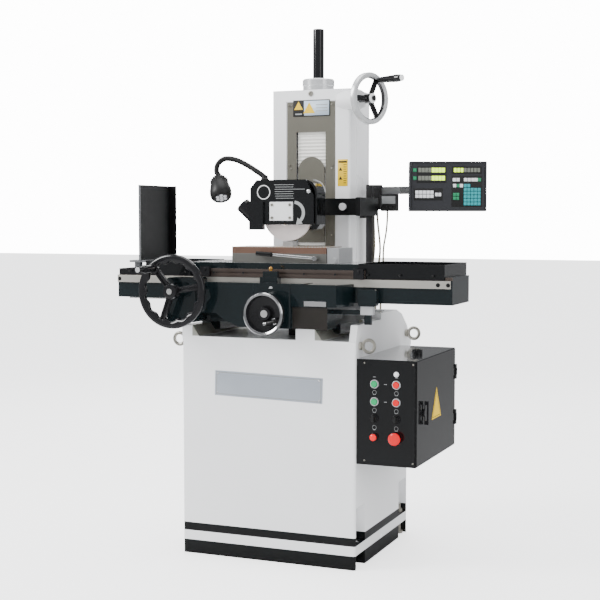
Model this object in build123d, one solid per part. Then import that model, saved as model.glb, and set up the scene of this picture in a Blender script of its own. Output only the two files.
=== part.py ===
from build123d import *
import math
import os

# Manual surface grinder. Millimetres, X right, Y back, Z up.
# Origin: centre of the pedestal's footprint, on the floor.

# ---- Driving dimensions ----
BASE_X, BASE_Y, BASE_TOP = 314, 280, 750          # half width, half depth, deck height
WAY_TOP = 787                                     # flat tops of the cross ways
SADDLE_TOP = 870                                  # underside of the table
TABLE_X = (-590, 600)
TABLE_Y = (-235, 35)
TABLE_TOP = 1000
CHUCK_X, CHUCK_Y, CHUCK_TOP = (-177, 171), (-171, -21), 1053
COLUMN_X, COLUMN_Y, COLUMN_TOP = 149, (115, 327), 1607
RISER_TOP = 827                                   # seat of the column on the pedestal
SPINDLE_Z = 1162
WHEEL_R, WHEEL_BORE_R, WHEEL_Y = 90, 15.9, (-102.5, -89.5)
SCREW_Y = 189                                     # elevating screw, in the column
CROSS_X, CROSS_Z = 40, 842                        # cross-feed screw
DRIVE_X, DRIVE_Z = -304, 906                      # table handwheel shaft
GEAR_R, PINION_R = 26, 16                         # pitch radii of the table drive
MODULE = 2
RUN = 0.05                                        # radial clearance of a running fit
GAP = 0.5                                         # air between separate moving bodies
APRON_BACK = -243.5                               # rear of everything that stands in front of the table

parts = {}


# ---- Small geometry helpers ----
def block(x, y, z):
    """A box given by its (low, high) limits along X, Y and Z."""
    size = Box(x[1] - x[0], y[1] - y[0], z[1] - z[0])
    return Pos((x[0] + x[1]) / 2, (y[0] + y[1]) / 2, (z[0] + z[1]) / 2) * size


def rod(start, end, radius):
    """A cylinder between two points."""
    axis = Vector(*end) - Vector(*start)
    return extrude(Plane(origin=start, z_dir=axis) * Circle(radius), axis.length)


def tube(start, end, outer, inner):
    return rod(start, end, outer) - rod(start, end, inner)


def prism_x(points, x):
    return extrude(Plane.YZ.offset(x[0]) * Polygon(*points, align=None), x[1] - x[0], dir=(1, 0, 0))


def prism_y(points, y):
    return extrude(Plane.XZ.offset(-y[0]) * Polygon(*points, align=None), y[1] - y[0], dir=(0, 1, 0))


def prism_z(points, z):
    return extrude(Plane.XY.offset(z[0]) * Polygon(*points, align=None), z[1] - z[0], dir=(0, 0, 1))


def lathe(points, plane):
    """A turned piece: points are (radius, height) along the plane's normal."""
    turned = revolve(Plane.XZ * Polygon(*points, align=None), Axis.Z, 360)
    return plane.location * turned


def facing(origin, direction=(0, -1, 0), right=(1, 0, 0)):
    return Plane(origin=origin, x_dir=right, z_dir=direction)


def round_z(shape, radius):
    return fillet(shape.edges().filter_by(Axis.Z), radius)


def gear(centre, y, pitch_r, phase):
    """A spur gear on a Y axis; teeth are slim, so that meshing flanks have backlash."""
    teeth = round(2 * pitch_r / MODULE)
    root, tip = pitch_r - 1.25 * MODULE, pitch_r + 0.7 * MODULE
    outline = []
    for n in range(teeth):
        middle = 2 * math.pi * n / teeth + phase
        for r, half in ((root, 0.62), (pitch_r, 0.34), (tip, 0.20), (tip, -0.20), (pitch_r, -0.34),
                        (root, -0.62)):
            angle = middle - half * math.pi / teeth
            outline.append((centre[0] + r * math.cos(angle), centre[1] + r * math.sin(angle)))
    return prism_y(outline, y)


def wheel_blank(plane, rim_r, rim_tube, hub_r, hub_h, spokes, spoke_w, bore):
    """A spoked handwheel lying in a plane, its hub standing along the normal."""
    wheel = plane.location * Torus(rim_r, rim_tube)
    wheel += plane.location * Cylinder(hub_r, hub_h)
    length = rim_r - 6
    for angle in spokes:
        bar = Rot(0, 0, angle) * Pos(length / 2, 0, 0) * Box(length, spoke_w, 11)
        wheel += plane.location * bar
    return wheel - plane.location * Cylinder(bore, hub_h + 2)


def way_outline(left, crest, foot, grow=0.0):
    """Section of a cross way: flat top, and a ground flank falling to the right."""
    return [(left - grow, BASE_TOP - 10), (left - grow, WAY_TOP + grow), (crest + grow, WAY_TOP + grow),
            (foot + grow, BASE_TOP), (foot + grow, BASE_TOP - 10)]


LEFT_WAY = (-BASE_X, -275, -250)
RIGHT_WAY = (105, 173, 198)


# ---- Pedestal ----
def base_casting():
    body = block((-BASE_X, BASE_X), (-BASE_Y, BASE_Y), (0, BASE_TOP))
    body = round_z(body, 8)
    body -= block((-255, 255), (-256, 256), (12, 226))
    body -= block((-296, 296), (-262, 262), (225, 722))
    for side in (-1, 1):
        x = (268, 320) if side > 0 else (-320, -268)
        for y in ((-270, -182), (182, 270)):
            body -= block(x, y, (79, 204)) + block(x, y, (-1, 46.5))
            middle = side * 292
            for bolt_y in (math.copysign(252, y[0]), math.copysign(210, y[0])):
                body -= rod((middle, bolt_y, 40), (middle, bolt_y, 85), 8)
    for way in (LEFT_WAY, RIGHT_WAY):
        body += prism_y(way_outline(*way), (-BASE_Y, 112))
    # Raised rear deck that carries the column, and the right-hand cheek
    deck = [(112, BASE_TOP - 30), (112, RISER_TOP), (150, RISER_TOP), (210, 808), (270, 764), (322, 703),
            (322, 690), (BASE_Y - 1, 655), (BASE_Y - 1, 640), (262, 640), (262, BASE_TOP - 30)]
    body += prism_x(deck, (-BASE_X, BASE_X))
    cheek = [(-278, BASE_TOP - 5), (-258, 803), (-22, 806), (-22, RISER_TOP), (112, RISER_TOP),
             (112, BASE_TOP - 5)]
    body += prism_x(cheek, (290, BASE_X))
    # Rear service opening, and the tapped holes of the lifting eyes
    body -= block((-150, 150), (250, 300), (250, 560))
    for x, y in eye_bolt_places():
        body -= rod((x - math.copysign(45, x), y, 735), (x, y, 735), 6)
    # Cable glands on the rear deck
    for _, route in CABLE_ROUTES:
        x, y, top = route[-1]
        body += rod((x, y, 740), (x, y, top), 7)
    return body


def eye_bolt_places():
    return [(side * 343, y) for side in (-1, 1) for y in (-240, 255)]


def eye_bolts():
    """Four lifting eyes: shank, collar and ring."""
    group = []
    for x, y in eye_bolt_places():
        side = math.copysign(1, x)
        eye = facing((x + side * 2, y, 735)).location * Torus(20, 5.5)
        eye += rod((side * BASE_X, y, 735), (side * (BASE_X + 8), y, 735), 13)
        eye += rod((side * (BASE_X + 2), y, 735), (x - side * 14, y, 735), 8)
        eye += rod((side * (BASE_X - 14), y, 735), (side * (BASE_X + 2), y, 735), 6)
        group.append(eye)
    return Compound(children=group)


def levelling_feet():
    """Four jack bolts, each with its pad and lock nut."""
    group = []
    for side in (-1, 1):
        for y in (-252, 252):
            bolt = rod((side * 292, y, 0), (side * 292, y, 10), 15)
            bolt += rod((side * 292, y, 5), (side * 292, y, 108), 8)
            group.append(bolt)
            ring = extrude(Plane((side * 292, y, 79)) * RegularPolygon(14, 6), 11)
            group.append(ring - rod((side * 292, y, 70), (side * 292, y, 95), 8))
    return Compound(children=group)


# ---- Column ----
def column_casting():
    y0, y1 = COLUMN_Y
    body = block((-COLUMN_X, COLUMN_X), (y0, y1), (RISER_TOP, COLUMN_TOP))
    body = round_z(body, 7)
    body -= block((-125, 125), (y0 + 25, y1 - 14), (RISER_TOP - 1, COLUMN_TOP - 16))
    body -= block((-62, 62), (y0 + 3, y0 + 26), (1000, COLUMN_TOP - 16))
    body -= block((-95, 95), (y0 - 1, y0 + 3), (RISER_TOP - 1, 1566))
    body -= block((-100, 100), (y1 - 15, y1 + 1), (900, 1500))
    body -= rod((0, SCREW_Y, COLUMN_TOP - 20), (0, SCREW_Y, COLUMN_TOP + 5), 30)
    shaft = elevating_plane(100)
    body -= shaft.location * Cylinder(19, 200)
    return body


def column_front_cover():
    """Stainless cover with the slot that the spindle head moves in, and six screws."""
    y = (COLUMN_Y[0] + 1, COLUMN_Y[0] + 3)
    cover = block((-92, 92), y, (RISER_TOP + 4, 1564)) - block((-56, 56), (100, 130), (1052, 1457))
    for x in (-84, 84):
        for z in (880, 1340, 1554):
            cover += rod((x, COLUMN_Y[0] - 2, z), (x, y[1], z), 4.5)
    return cover


def column_covers():
    """Side panels and the louvred back panel of the column."""
    y0, y1 = COLUMN_Y
    group = []
    for side in (-1, 1):
        x = sorted((side * COLUMN_X, side * (COLUMN_X + 2)))
        group.append(block(x, (182, 292), (RISER_TOP + 40, 1522)))
    back = block((-112, 112), (y1, y1 + 2), (888, 1512))
    for row in range(8):
        back -= block((-60, 60), (y1 - 1, y1 + 3), (1010 + row * 14, 1016 + row * 14))
    group.append(back)
    rear = block((-165, 165), (BASE_Y, BASE_Y + 2), (235, 575))
    for row in range(6):
        rear -= block((-90, 90), (BASE_Y - 1, BASE_Y + 3), (420 + row * 18, 427 + row * 18))
    group.append(rear)
    return Compound(children=group)


# ---- Elevating drive ----
ELEV_DIR = (math.cos(math.radians(-22.8)), math.sin(math.radians(-22.8)), 0)
ELEV_Z = 1566


def elevating_plane(distance):
    """Plane across the elevating handwheel shaft, at a distance from the screw."""
    origin = (ELEV_DIR[0] * distance, SCREW_Y + ELEV_DIR[1] * distance, ELEV_Z)
    return Plane(origin=origin, x_dir=(-ELEV_DIR[1], ELEV_DIR[0], 0), z_dir=ELEV_DIR)


def handwheel_boss():
    """Round bearing housing of the elevating shaft, on the column's right flank."""
    plane = elevating_plane(0)
    boss = lathe([(0, 120), (36, 120), (36, 196), (32, 206), (0, 206)], plane)
    boss -= block((-COLUMN_X, COLUMN_X), COLUMN_Y, (RISER_TOP, COLUMN_TOP))
    return boss - plane.location * Cylinder(12 + RUN, 440)


def screw_flange():
    """Two-tier bearing flange on top of the column."""
    plane = Plane((0, SCREW_Y, COLUMN_TOP))
    flange = lathe([(0, 0), (56, 0), (56, 16), (55, 17), (56, 18), (57.5, 19), (57.5, 39), (54, 43), (0, 43)],
                   plane)
    flange -= rod((0, SCREW_Y, 1600), (0, SCREW_Y, 1640), 28)
    return flange - rod((0, SCREW_Y, 1600), (0, SCREW_Y, 1680), 20)


def screw_cover_tube():
    plane = Plane((0, SCREW_Y, COLUMN_TOP + 30))
    return lathe([(16, 0), (20, 0), (20, 190), (18, 193), (0, 193), (0, 189), (16, 189)], plane)


def elevating_nut():
    """Bronze nut in a bevel gear; it turns on the spot and lifts the screw."""
    nut = rod((0, SCREW_Y, 1566), (0, SCREW_Y, 1630), 22)
    gear_blank = lathe([(0, 0), (44, 0), (38, 12), (0, 12)], Plane((0, SCREW_Y, 1536)))
    collar = rod((0, SCREW_Y, 1536), (0, SCREW_Y, 1570), 22)
    body = nut + gear_blank + collar
    for tooth in range(24):
        cutter = Rot(0, 0, tooth * 15) * Pos(44, 0, 1546) * Box(9, 4, 12)
        body -= Pos(0, SCREW_Y, 0) * cutter
    return body - rod((0, SCREW_Y, 1500), (0, SCREW_Y, 1640), 12 + RUN)


def elevating_screw():
    screw = rod((0, SCREW_Y, 1318), (0, SCREW_Y, 1592), 12)
    foot = rod((0, SCREW_Y, 1312), (0, SCREW_Y, 1320), 26)
    return screw + foot


def elevating_handwheel():
    """Shaft with its pinion, and the spoked handwheel keyed to it."""
    wheel = wheel_blank(elevating_plane(250), 82, 8, 17, 36, (62, 182, 302), 16, 9)
    rest = elevating_plane(0)
    shaft = lathe([(0, 26), (12, 26), (12, 226), (9, 226), (9, 272), (0, 272)], rest)
    pinion = lathe([(12, 26), (14, 26), (17.5, 42), (12, 42)], rest)
    wheel -= rest.location * Pos(0, 0, 250) * Cylinder(9, 60)
    grip_pin = elevating_grip_axis()
    pin = rod(grip_pin[0], grip_pin[2], 4)
    return Compound(children=[wheel + pin, shaft + pinion])


def elevating_grip_axis():
    """Start of the pin, start of the grip and end of the grip."""
    plane = elevating_plane(250)
    spot = Vector(*plane.origin) + plane.x_dir * (74 * math.cos(math.radians(62)))
    spot += plane.y_dir * (74 * math.sin(math.radians(62)))
    out = Vector(*ELEV_DIR)
    points = (spot, spot + out * 9, spot + out * 112)
    return [(p.X, p.Y, p.Z) for p in points]


def elevating_grip():
    _, start, end = elevating_grip_axis()
    plane = Plane(origin=start, z_dir=ELEV_DIR)
    grip = lathe([(0, 0), (8, 0), (10, 10), (13.5, 84), (12.5, 98), (9, 108), (0, 109)], plane)
    return grip - plane.location * Cylinder(4 + RUN, 2 * 103.2)


# ---- Electrical cabinet ----
CAB_X, CAB_Y, CAB_Z = (BASE_X, 514.5), (-269, 194), (352, 696)
PANEL_FRONT = CAB_Y[0] - 2


def control_cabinet():
    """Welded sheets, the frame round the door opening, the cable fitting and the hinge barrels."""
    wall, side, back = 2.5, CAB_X[1] - 4, CAB_Y[1] - 2.5
    front = block((CAB_X[0], side), (CAB_Y[0], CAB_Y[0] + 6), CAB_Z)
    for x, z, r in button_holes():
        front -= rod((x, PANEL_FRONT - 5, z), (x, CAB_Y[0] + 8, z), r)
    low, high = (CAB_Z[0], CAB_Z[0] + wall), (CAB_Z[1] - wall, CAB_Z[1])
    top = block((CAB_X[0], side), (CAB_Y[0] + 6, back), high) - rod((454, -60, 600), (454, -60, 800), 12)
    top += tube((454, -60, CAB_Z[1] - wall), (454, -60, CAB_Z[1] + 16), 18, 12)
    bottom = block((CAB_X[0], side), (CAB_Y[0] + 6, back), low) - rod((410, 150, 300), (410, 150, 400), 12)
    rear = block((CAB_X[0], side), (back, CAB_Y[1]), CAB_Z)
    left = block((CAB_X[0], CAB_X[0] + wall), (CAB_Y[0] + 6, back), (low[1], high[0]))
    posts = [block((side, CAB_X[1]), y, CAB_Z) for y in ((CAB_Y[0], CAB_Y[0] + 12), (CAB_Y[1] - 10, CAB_Y[1]))]
    rails = [block((side, CAB_X[1]), (CAB_Y[0] + 12, CAB_Y[1] - 10), z)
             for z in ((CAB_Z[0], CAB_Z[0] + 12), (CAB_Z[1] - 12, CAB_Z[1]))]
    for z in (440, 600):
        posts[1] += tube((CAB_X[1] + 4, CAB_Y[1] + 2, z), (CAB_X[1] + 4, CAB_Y[1] + 2, z + 24), 5, 3 + RUN)
        posts[1] += block((CAB_X[1] - 4, CAB_X[1] + 0.5), (CAB_Y[1], CAB_Y[1] + 3), (z, z + 24))
    return Compound(children=[front, top, bottom, rear, left, *posts, *rails])


def button_holes():
    """Centre and hole radius of each control on the panel."""
    small = [(x, z, 11.2) for z in (617, 560, 505, 445) for x in (376, 450)]
    return small + [(450, 651, 6)]


def control_panel():
    """Front plate with the bezels and the two lamps."""
    plate = block((CAB_X[0] + 3, CAB_X[1] - 3), (PANEL_FRONT, CAB_Y[0]), (CAB_Z[0] + 4, CAB_Z[1] - 4))
    for x, z, r in button_holes():
        plate -= rod((x, PANEL_FRONT - 1, z), (x, CAB_Y[0] + 1, z), r)
        if r > 10 and (x, z) != (376, 445):
            plate += tube((x, PANEL_FRONT - 4, z), (x, PANEL_FRONT, z), 14, 11.2)
    lamp = rod((376, PANEL_FRONT - 12, 445), (376, CAB_Y[0] + 20, 445), 11.2)
    white = rod((450, PANEL_FRONT - 4, 651), (450, CAB_Y[0] + 16, 651), 6)
    return Compound(children=[plate, lamp, white])


def push_button(x, z):
    return rod((x, PANEL_FRONT - 7, z), (x, CAB_Y[0] + 12, z), 10.2)


def selector(x, z):
    knob = rod((x, PANEL_FRONT - 9, z), (x, CAB_Y[0] + 12, z), 10.2)
    return knob + block((x - 3.5, x + 3.5), (PANEL_FRONT - 20, PANEL_FRONT - 8), (z - 10, z + 10))


def emergency_button():
    x, z = 450, 445
    plane = facing((x, PANEL_FRONT, z))
    return lathe([(0, -20), (10.2, -20), (10.2, 14), (20, 18), (20, 24), (15, 28), (0, 29)], plane)


def cabinet_door():
    """Side door on two hinge pins, with the hole for its lock."""
    door = block((CAB_X[1] + 0.5, CAB_X[1] + 3), (CAB_Y[0] + 3, CAB_Y[1] - 4.5), (CAB_Z[0] + 3, CAB_Z[1] - 3))
    door += block((CAB_X[1] - 2.5, CAB_X[1] + 3), (CAB_Y[0] + 20, CAB_Y[0] + 22), (CAB_Z[0] + 24, CAB_Z[1] - 24))
    door -= rod((CAB_X[1] - 5, -190, 520), (CAB_X[1] + 10, -190, 520), 6 + RUN)
    door -= block((CAB_X[1] - 3, CAB_X[1] + 0.4), (-202, -178), (506, 534))
    for z in (440, 600):
        door += rod((CAB_X[1] + 4, CAB_Y[1] + 2, z - 14), (CAB_X[1] + 4, CAB_Y[1] + 2, z + 30), 3)
        for low in (z - 14, z + 24.5):
            x, y = CAB_X[1] + 4, CAB_Y[1] + 2
            door += rod((x, y, low), (x, y, low + 13), 4)
            door += block((x - 3.5, x + 3), (y - 14, y), (low, low + 13))
    return door


def door_lock():
    """Quarter-turn lock: barrel, bow handle and the cam behind the door."""
    lock = rod((CAB_X[1] + 3.2, -190, 520), (CAB_X[1] + 9, -190, 520), 13)
    lock += block((CAB_X[1] + 6, CAB_X[1] + 20), (-194, -186), (482, 558))
    lock -= block((CAB_X[1] + 9, CAB_X[1] + 14), (-200, -180), (494, 546))
    lock += rod((CAB_X[1] - 6, -190, 520), (CAB_X[1] + 6, -190, 520), 6)
    return lock


# ---- Read-out ----
DRO_PIVOT = (445, 306)
DRO_Z = (1174, 1351)


def dro_arm():
    """Reader block on the column's flank, the flat arm, the pivot post and the small meter."""
    block_part = block((COLUMN_X + 2.2, 200), (296, 324), (1180, 1272))
    arm = block((190, 455), (312, 318), (1237, 1265))
    pivot = rod((DRO_PIVOT[0], DRO_PIVOT[1] + 9, 1230), (DRO_PIVOT[0], DRO_PIVOT[1] + 9, 1272), 9)
    pivot -= rod((DRO_PIVOT[0], DRO_PIVOT[1] + 9, 1200), (DRO_PIVOT[0], DRO_PIVOT[1] + 9, 1300), 4 + RUN)
    arm -= rod((DRO_PIVOT[0], DRO_PIVOT[1] + 9, 1200), (DRO_PIVOT[0], DRO_PIVOT[1] + 9, 1300), 4 + RUN)
    reader = block((COLUMN_X + 2.2, 168), (214, 236), (1150, 1210)) + block((COLUMN_X + 2.2, 166), (214, 300), (1170, 1200))
    meter = round_z(block((208, 268), (282, 312), (1175, 1237)), 3)
    return Compound(children=[block_part + arm + pivot + reader, meter])


def dro_display():
    """Read-out housing turned to face the operator, with its yoke and pivot pin."""
    px, py = DRO_PIVOT[0], DRO_PIVOT[1] + 9
    case = block((-137, 137), (-62, -14), DRO_Z)
    case = fillet(case.edges().filter_by(Axis.Y), 4)
    case -= block((-131, 131), (-63, -60), (DRO_Z[0] + 6, DRO_Z[1] - 6))
    yoke = block((-14, 14), (-14, 12), (1274, 1282)) + block((-14, 14), (-14, 12), (1220, 1228))
    pin = rod((0, 0, 1212), (0, 0, 1290), 4)
    return Pos(px, py, 0) * Rot(0, 0, 22) * (case + yoke + pin)


CABLE_ROUTES = (
    (4, [(186, 308, 1180), (186, 308, 1146), (199, 291, 1092), (211, 272, 1036), (208, 262, 980),
         (200, 256, 924), (199, 252, 870), (199, 252, 792)]),
    (3.5, [(174, 306, 1180), (174, 306, 1146), (186, 277, 1088), (193, 260, 1030), (187, 252, 972),
           (181, 246, 914), (183, 243, 862), (183, 243, 792)]),
    (3.5, [(228, 300, 1175), (228, 300, 1142), (226, 291, 1092), (219, 280, 1042), (223, 270, 988),
           (219, 264, 932), (216, 260, 876), (216, 260, 792)]),
)


def cord_tube(radius, points):
    """Straight runs joined by the widest tangent arcs that the runs leave room for."""
    corners = [Vector(*p) for p in points]
    radii = []
    for before, here, after in zip(corners, corners[1:], corners[2:]):
        turn = math.radians((here - before).get_angle(after - here))
        run = min((here - before).length, (after - here).length)
        radii.append(0.45 * run / math.tan(turn / 2))
    path = FilletPolyline(*points, radius=radii)
    print("cable radii", [round(r) for r in radii], "length", round(path.length))
    start = Plane(origin=path @ 0, z_dir=path % 0)
    return sweep(start * Circle(radius), path=path)


def scale_cables():
    """Armoured leads from the reader and the read-out down to the rear deck."""
    return Compound(children=[cord_tube(*route) for route in CABLE_ROUTES])


# ---- Saddle ----
def cross_nut():
    """Bronze nut on its bracket, fixed to the pedestal."""
    body = block((CROSS_X - 26, CROSS_X + 26), (-124, -96), (BASE_TOP, CROSS_Z + 20))
    return body - rod((CROSS_X, -130, CROSS_Z), (CROSS_X, -90, CROSS_Z), 9 + RUN)


def saddle_casting():
    y = (-140, 45)
    body = block((-225, 232), y, (800, SADDLE_TOP - GAP))
    body += block((-310, -238), y, (762, SADDLE_TOP - GAP)) + block((-240, -222), y, (800, SADDLE_TOP - GAP))
    body += block((100, 210), y, (762, 810))
    for way in (LEFT_WAY, RIGHT_WAY):
        body -= prism_y(way_outline(*way, grow=0.2), (-300, 100))
    # Front bridge below the table, joining the apron
    body += block((-225, 232), (APRON_BACK, -139), (800, SADDLE_TOP - GAP))
    # Channel for the cross screw
    body -= block((CROSS_X - 30, CROSS_X + 30), (-200, 60), (790, SADDLE_TOP - 6))
    # Bearing of the rack pinion
    body += block((-345, -222), (APRON_BACK, -195), (818, SADDLE_TOP - GAP))
    body -= block((-346, 233), (-221, -198), (866, SADDLE_TOP))
    body -= rod((DRIVE_X, -300, pinion_z()), (DRIVE_X, -150, pinion_z()), 10 + RUN)
    body -= block((DRIVE_X - 24, DRIVE_X + 24), (-219, -199), (pinion_z() - 22, SADDLE_TOP + 1))
    # Bearing of the cross screw in the front bridge
    body -= rod((CROSS_X, -300, CROSS_Z), (CROSS_X, -190, CROSS_Z), 12 + RUN)
    return body


def pinion_z():
    return DRIVE_Z - 2 * GEAR_R


def saddle_apron():
    """Front apron with the boss of the cross screw, and the stop bracket on its top."""
    lower = prism_y([(-163, 938), (-163, 835), (-132, 812), (-84, 791), (234, 791), (234, 870), (150, 938)],
                    (-326, APRON_BACK))
    upper = prism_z([(-26, APRON_BACK), (-26, -330), (265, -330), (294, APRON_BACK)], (864, 936))
    boss = block((-26, 108), (-334, -300), (791, 938))
    body = lower + upper + round_z(boss, 6)
    body += block((-237, -160), (-326, APRON_BACK), (835, 938))
    body -= rod((CROSS_X, -340, CROSS_Z), (CROSS_X, -230, CROSS_Z), 12 + RUN)
    bracket = block((-20, 44), (-290, -262), (938, 956)) + block((-14, 38), (-278, -264), (956, 974))
    bracket += rod((12, -271, 974), (12, -271, 978), 5) + Pos(12, -271, 983) * Sphere(7)
    plate = block((155, 231), (-331.5, -330), (866, 882))
    return Compound(children=[body, bracket, plate])


def drive_housing():
    """Gear case of the table drive, at the left end of the saddle."""
    y = (-330, APRON_BACK)
    body = block((-345, -237.5), y, (801, 950))
    body = fillet(body.edges().filter_by(Axis.Y), 8)
    cavity = rod((DRIVE_X, -318, DRIVE_Z), (DRIVE_X, -250, DRIVE_Z), 31)
    cavity += rod((DRIVE_X, -318, pinion_z()), (DRIVE_X, -250, pinion_z()), 31)
    body -= cavity
    body -= rod((DRIVE_X, -340, DRIVE_Z), (DRIVE_X, -245, DRIVE_Z), 10 + RUN)
    body -= rod((DRIVE_X, -323, pinion_z()), (DRIVE_X, -230, pinion_z()), 10 + RUN)
    return body


def handwheel_shaft():
    shaft = rod((DRIVE_X, -392, DRIVE_Z), (DRIVE_X, -246, DRIVE_Z), 10)
    return shaft + gear((DRIVE_X, DRIVE_Z), (-300, -280), GEAR_R, phase=-math.pi / 2)


def pinion_shaft():
    """Lower shaft: gear in the case, and the pinion that drives the rack."""
    shaft = rod((DRIVE_X, -322, pinion_z()), (DRIVE_X, -196, pinion_z()), 10)
    half_tooth = math.pi / (2 * GEAR_R / MODULE)
    shaft += gear((DRIVE_X, pinion_z()), (-300, -280), GEAR_R, phase=math.pi / 2 + half_tooth)
    return shaft + gear((DRIVE_X, pinion_z()), (-217, -201), PINION_R, phase=math.pi / 2)


def drive_rack():
    """Rack under the table's front edge; a gap between teeth sits over the pinion's tooth."""
    pitch = math.pi * MODULE
    line = pinion_z() + PINION_R
    top, tip, root = 884, line - 0.7 * MODULE, line + 1.25 * MODULE
    points = [(-562, top), (-562, root)]
    first = DRIVE_X + pitch * (round((-556 - DRIVE_X) / pitch) + 0.5)
    for n in range(int(520 / pitch)):
        x = first + n * pitch
        for dx, z in ((-0.31, root), (-0.17, line), (-0.10, tip), (0.10, tip), (0.17, line), (0.31, root)):
            points.append((x + dx * pitch, z))
    points += [(points[-1][0] + 6, root), (points[-1][0] + 6, top)]
    return prism_y(points, (-219, -200))


HANDWHEEL_Y = -372
GRIP_ANGLE = 130


def table_handwheel():
    """Large spoked wheel with the fixed pin of its turning grip."""
    plane = facing((DRIVE_X, HANDWHEEL_Y, DRIVE_Z))
    wheel = wheel_blank(plane, 112.5, 12.5, 25, 40, (GRIP_ANGLE, 10, 250), 20, 10)
    x, z = grip_place()
    boss = rod((x, HANDWHEEL_Y - 12, z), (x, HANDWHEEL_Y + 8, z), 14)
    return wheel + boss + rod((x, HANDWHEEL_Y - 110, z), (x, HANDWHEEL_Y, z), 5)


def grip_place():
    angle = math.radians(GRIP_ANGLE)
    return DRIVE_X + 98 * math.cos(angle), DRIVE_Z + 98 * math.sin(angle)


def table_grip():
    x, z = grip_place()
    plane = facing((x, HANDWHEEL_Y - 13, z))
    grip = lathe([(0, 0), (10, 0), (14, 14), (14.5, 60), (11, 88), (12, 98), (8, 104), (0, 105)], plane)
    return grip - rod((x, HANDWHEEL_Y - 110.5, z), (x, HANDWHEEL_Y, z), 5 + RUN)


CROSS_FACE = -404


def cross_screw():
    """Feed screw with its thrust collar, journalled in the apron."""
    screw = rod((CROSS_X, -392, CROSS_Z), (CROSS_X, -190, CROSS_Z), 12)
    screw += rod((CROSS_X, -192, CROSS_Z), (CROSS_X, 40, CROSS_Z), 9)
    return screw + rod((CROSS_X, -198.5, CROSS_Z), (CROSS_X, -190, CROSS_Z), 20)


CRANK_FOOT, CRANK_TIP = (40, -23), (3, -33)         # from the wheel's centre, in its plane


def crank_frame():
    """Plane at the crank's hinge: x along the folded crank, y along the hinge pin, z to the operator."""
    dx, dz = CRANK_TIP[0] - CRANK_FOOT[0], CRANK_TIP[1] - CRANK_FOOT[1]
    return Plane(origin=(CROSS_X + CRANK_FOOT[0], CROSS_FACE + 10, CROSS_Z + CRANK_FOOT[1]),
                 x_dir=(dx, 0, dz), z_dir=(0, -1, 0))


def cross_handwheel():
    """Dished wheel: deep rim, web at the back, hub, and lugs for the folding crank."""
    plane = facing((CROSS_X, CROSS_FACE, CROSS_Z))
    wheel = lathe([(12, -44), (26, -44), (26, -40), (60, -34), (68, -22), (70, -4), (66, 0), (60, -3), (56, -22),
                   (24, -28), (20, -14), (12, -14)], plane)
    frame = crank_frame().location
    for side in (-1, 1):
        wheel += frame * Pos(0, side * 9, -6) * Box(12, 4, 26)
    return wheel - frame * Rot(90, 0, 0) * Cylinder(2.5 + RUN, 26)


def cross_crank():
    """Folding crank: hinge pin, barrel, handle lying in the dish, and its button end."""
    frame = crank_frame().location
    length = math.dist(CRANK_FOOT, CRANK_TIP)
    crank = frame * Rot(90, 0, 0) * Cylinder(2.5, 22)
    crank += frame * Rot(90, 0, 0) * Cylinder(5, 13)
    crank += frame * Pos(length / 2, 0, 0) * Rot(0, 90, 0) * Cylinder(5, length)
    return crank + frame * Pos(length, 0, 0) * Sphere(6.5)


def x_scale_reader():
    """Reader head under the table's scale, on its bracket from the saddle."""
    head = block((318, 380), (-270, APRON_BACK), (866, 921))
    head = fillet(head.edges().filter_by(Axis.Y), 8)
    foot = block((324, 366), (-262, -242), (838, 867)) + block((336, 358), (-258, -244), (806, 840))
    arm = block((234, 340), (-258, -244), (838, 852))
    return head + foot + arm


# ---- Table ----
def table_casting():
    x0, x1 = TABLE_X
    y0, y1 = TABLE_Y
    body = block((x0, x1), (y0, y1), (SADDLE_TOP + 4, 952))
    body += block((-306, 306), (y0 + 14, y1 - 14), (950, TABLE_TOP))
    body += block((x1 - 1, 622), (y0, -30), (SADDLE_TOP + 4, 962))
    # Hollow underside between the skirts, with the two runners on the saddle
    body -= block((x0 + 12, x1 - 12), (y0 + 10, y1 - 12), (SADDLE_TOP, 892))
    body += block((-500, 500), (-150, -115), (SADDLE_TOP, 893)) + block((-500, 500), (5, 24), (SADDLE_TOP, 893))
    # Ground front rail for the stop dogs, and the clamping slot in the top
    rail = block((-260, 332), (y0 - 6, y0 + 0.5), (951, 980)) + block((-234, 306), (y0, y0 + 20), (951, 980))
    body += rail - block((-262, 334), (y0 - 7, y0 - 1), (962, 969))
    body -= block((-307, 307), (-104, -90), (TABLE_TOP - 14, TABLE_TOP + 1))
    return body


def tray(x):
    """Open sheet-metal coolant tray on one wing of the table."""
    y0, y1 = TABLE_Y
    body = block(x, (y0 + 1, y1), (952, 1002))
    return body - block((x[0] + 3, x[1] - 3), (y0 + 4, y1 - 3), (955, 1003))


def table_trays():
    left = tray((-586, -306.5)) - block((-600, -480), (-240, 40), (974, 1004))
    return Compound(children=[left, tray((306.5, 596))])


def x_scale():
    """Long linear scale along the table's front, with four end screws."""
    y = (TABLE_Y[0] - 5, TABLE_Y[0])
    bar = block((TABLE_X[0], 617), y, (926, 951))
    for x in (-582, 576, 609):
        bar += rod((x, y[0] - 2, 938), (x, y[1], 938), 4.5)
    return bar


def stop_dog(x):
    """Trip dog clamped on the front rail."""
    y = TABLE_Y[0] - 6
    dog = block((x - 17, x + 17), (y - 13, y - GAP), (953, 986))
    dog += block((x - 9, x + 9), (y - GAP - 1, y + 4.5), (962.6, 968.4))
    return dog + rod((x, y - 17, 976), (x, y - 12, 976), 5)


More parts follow.
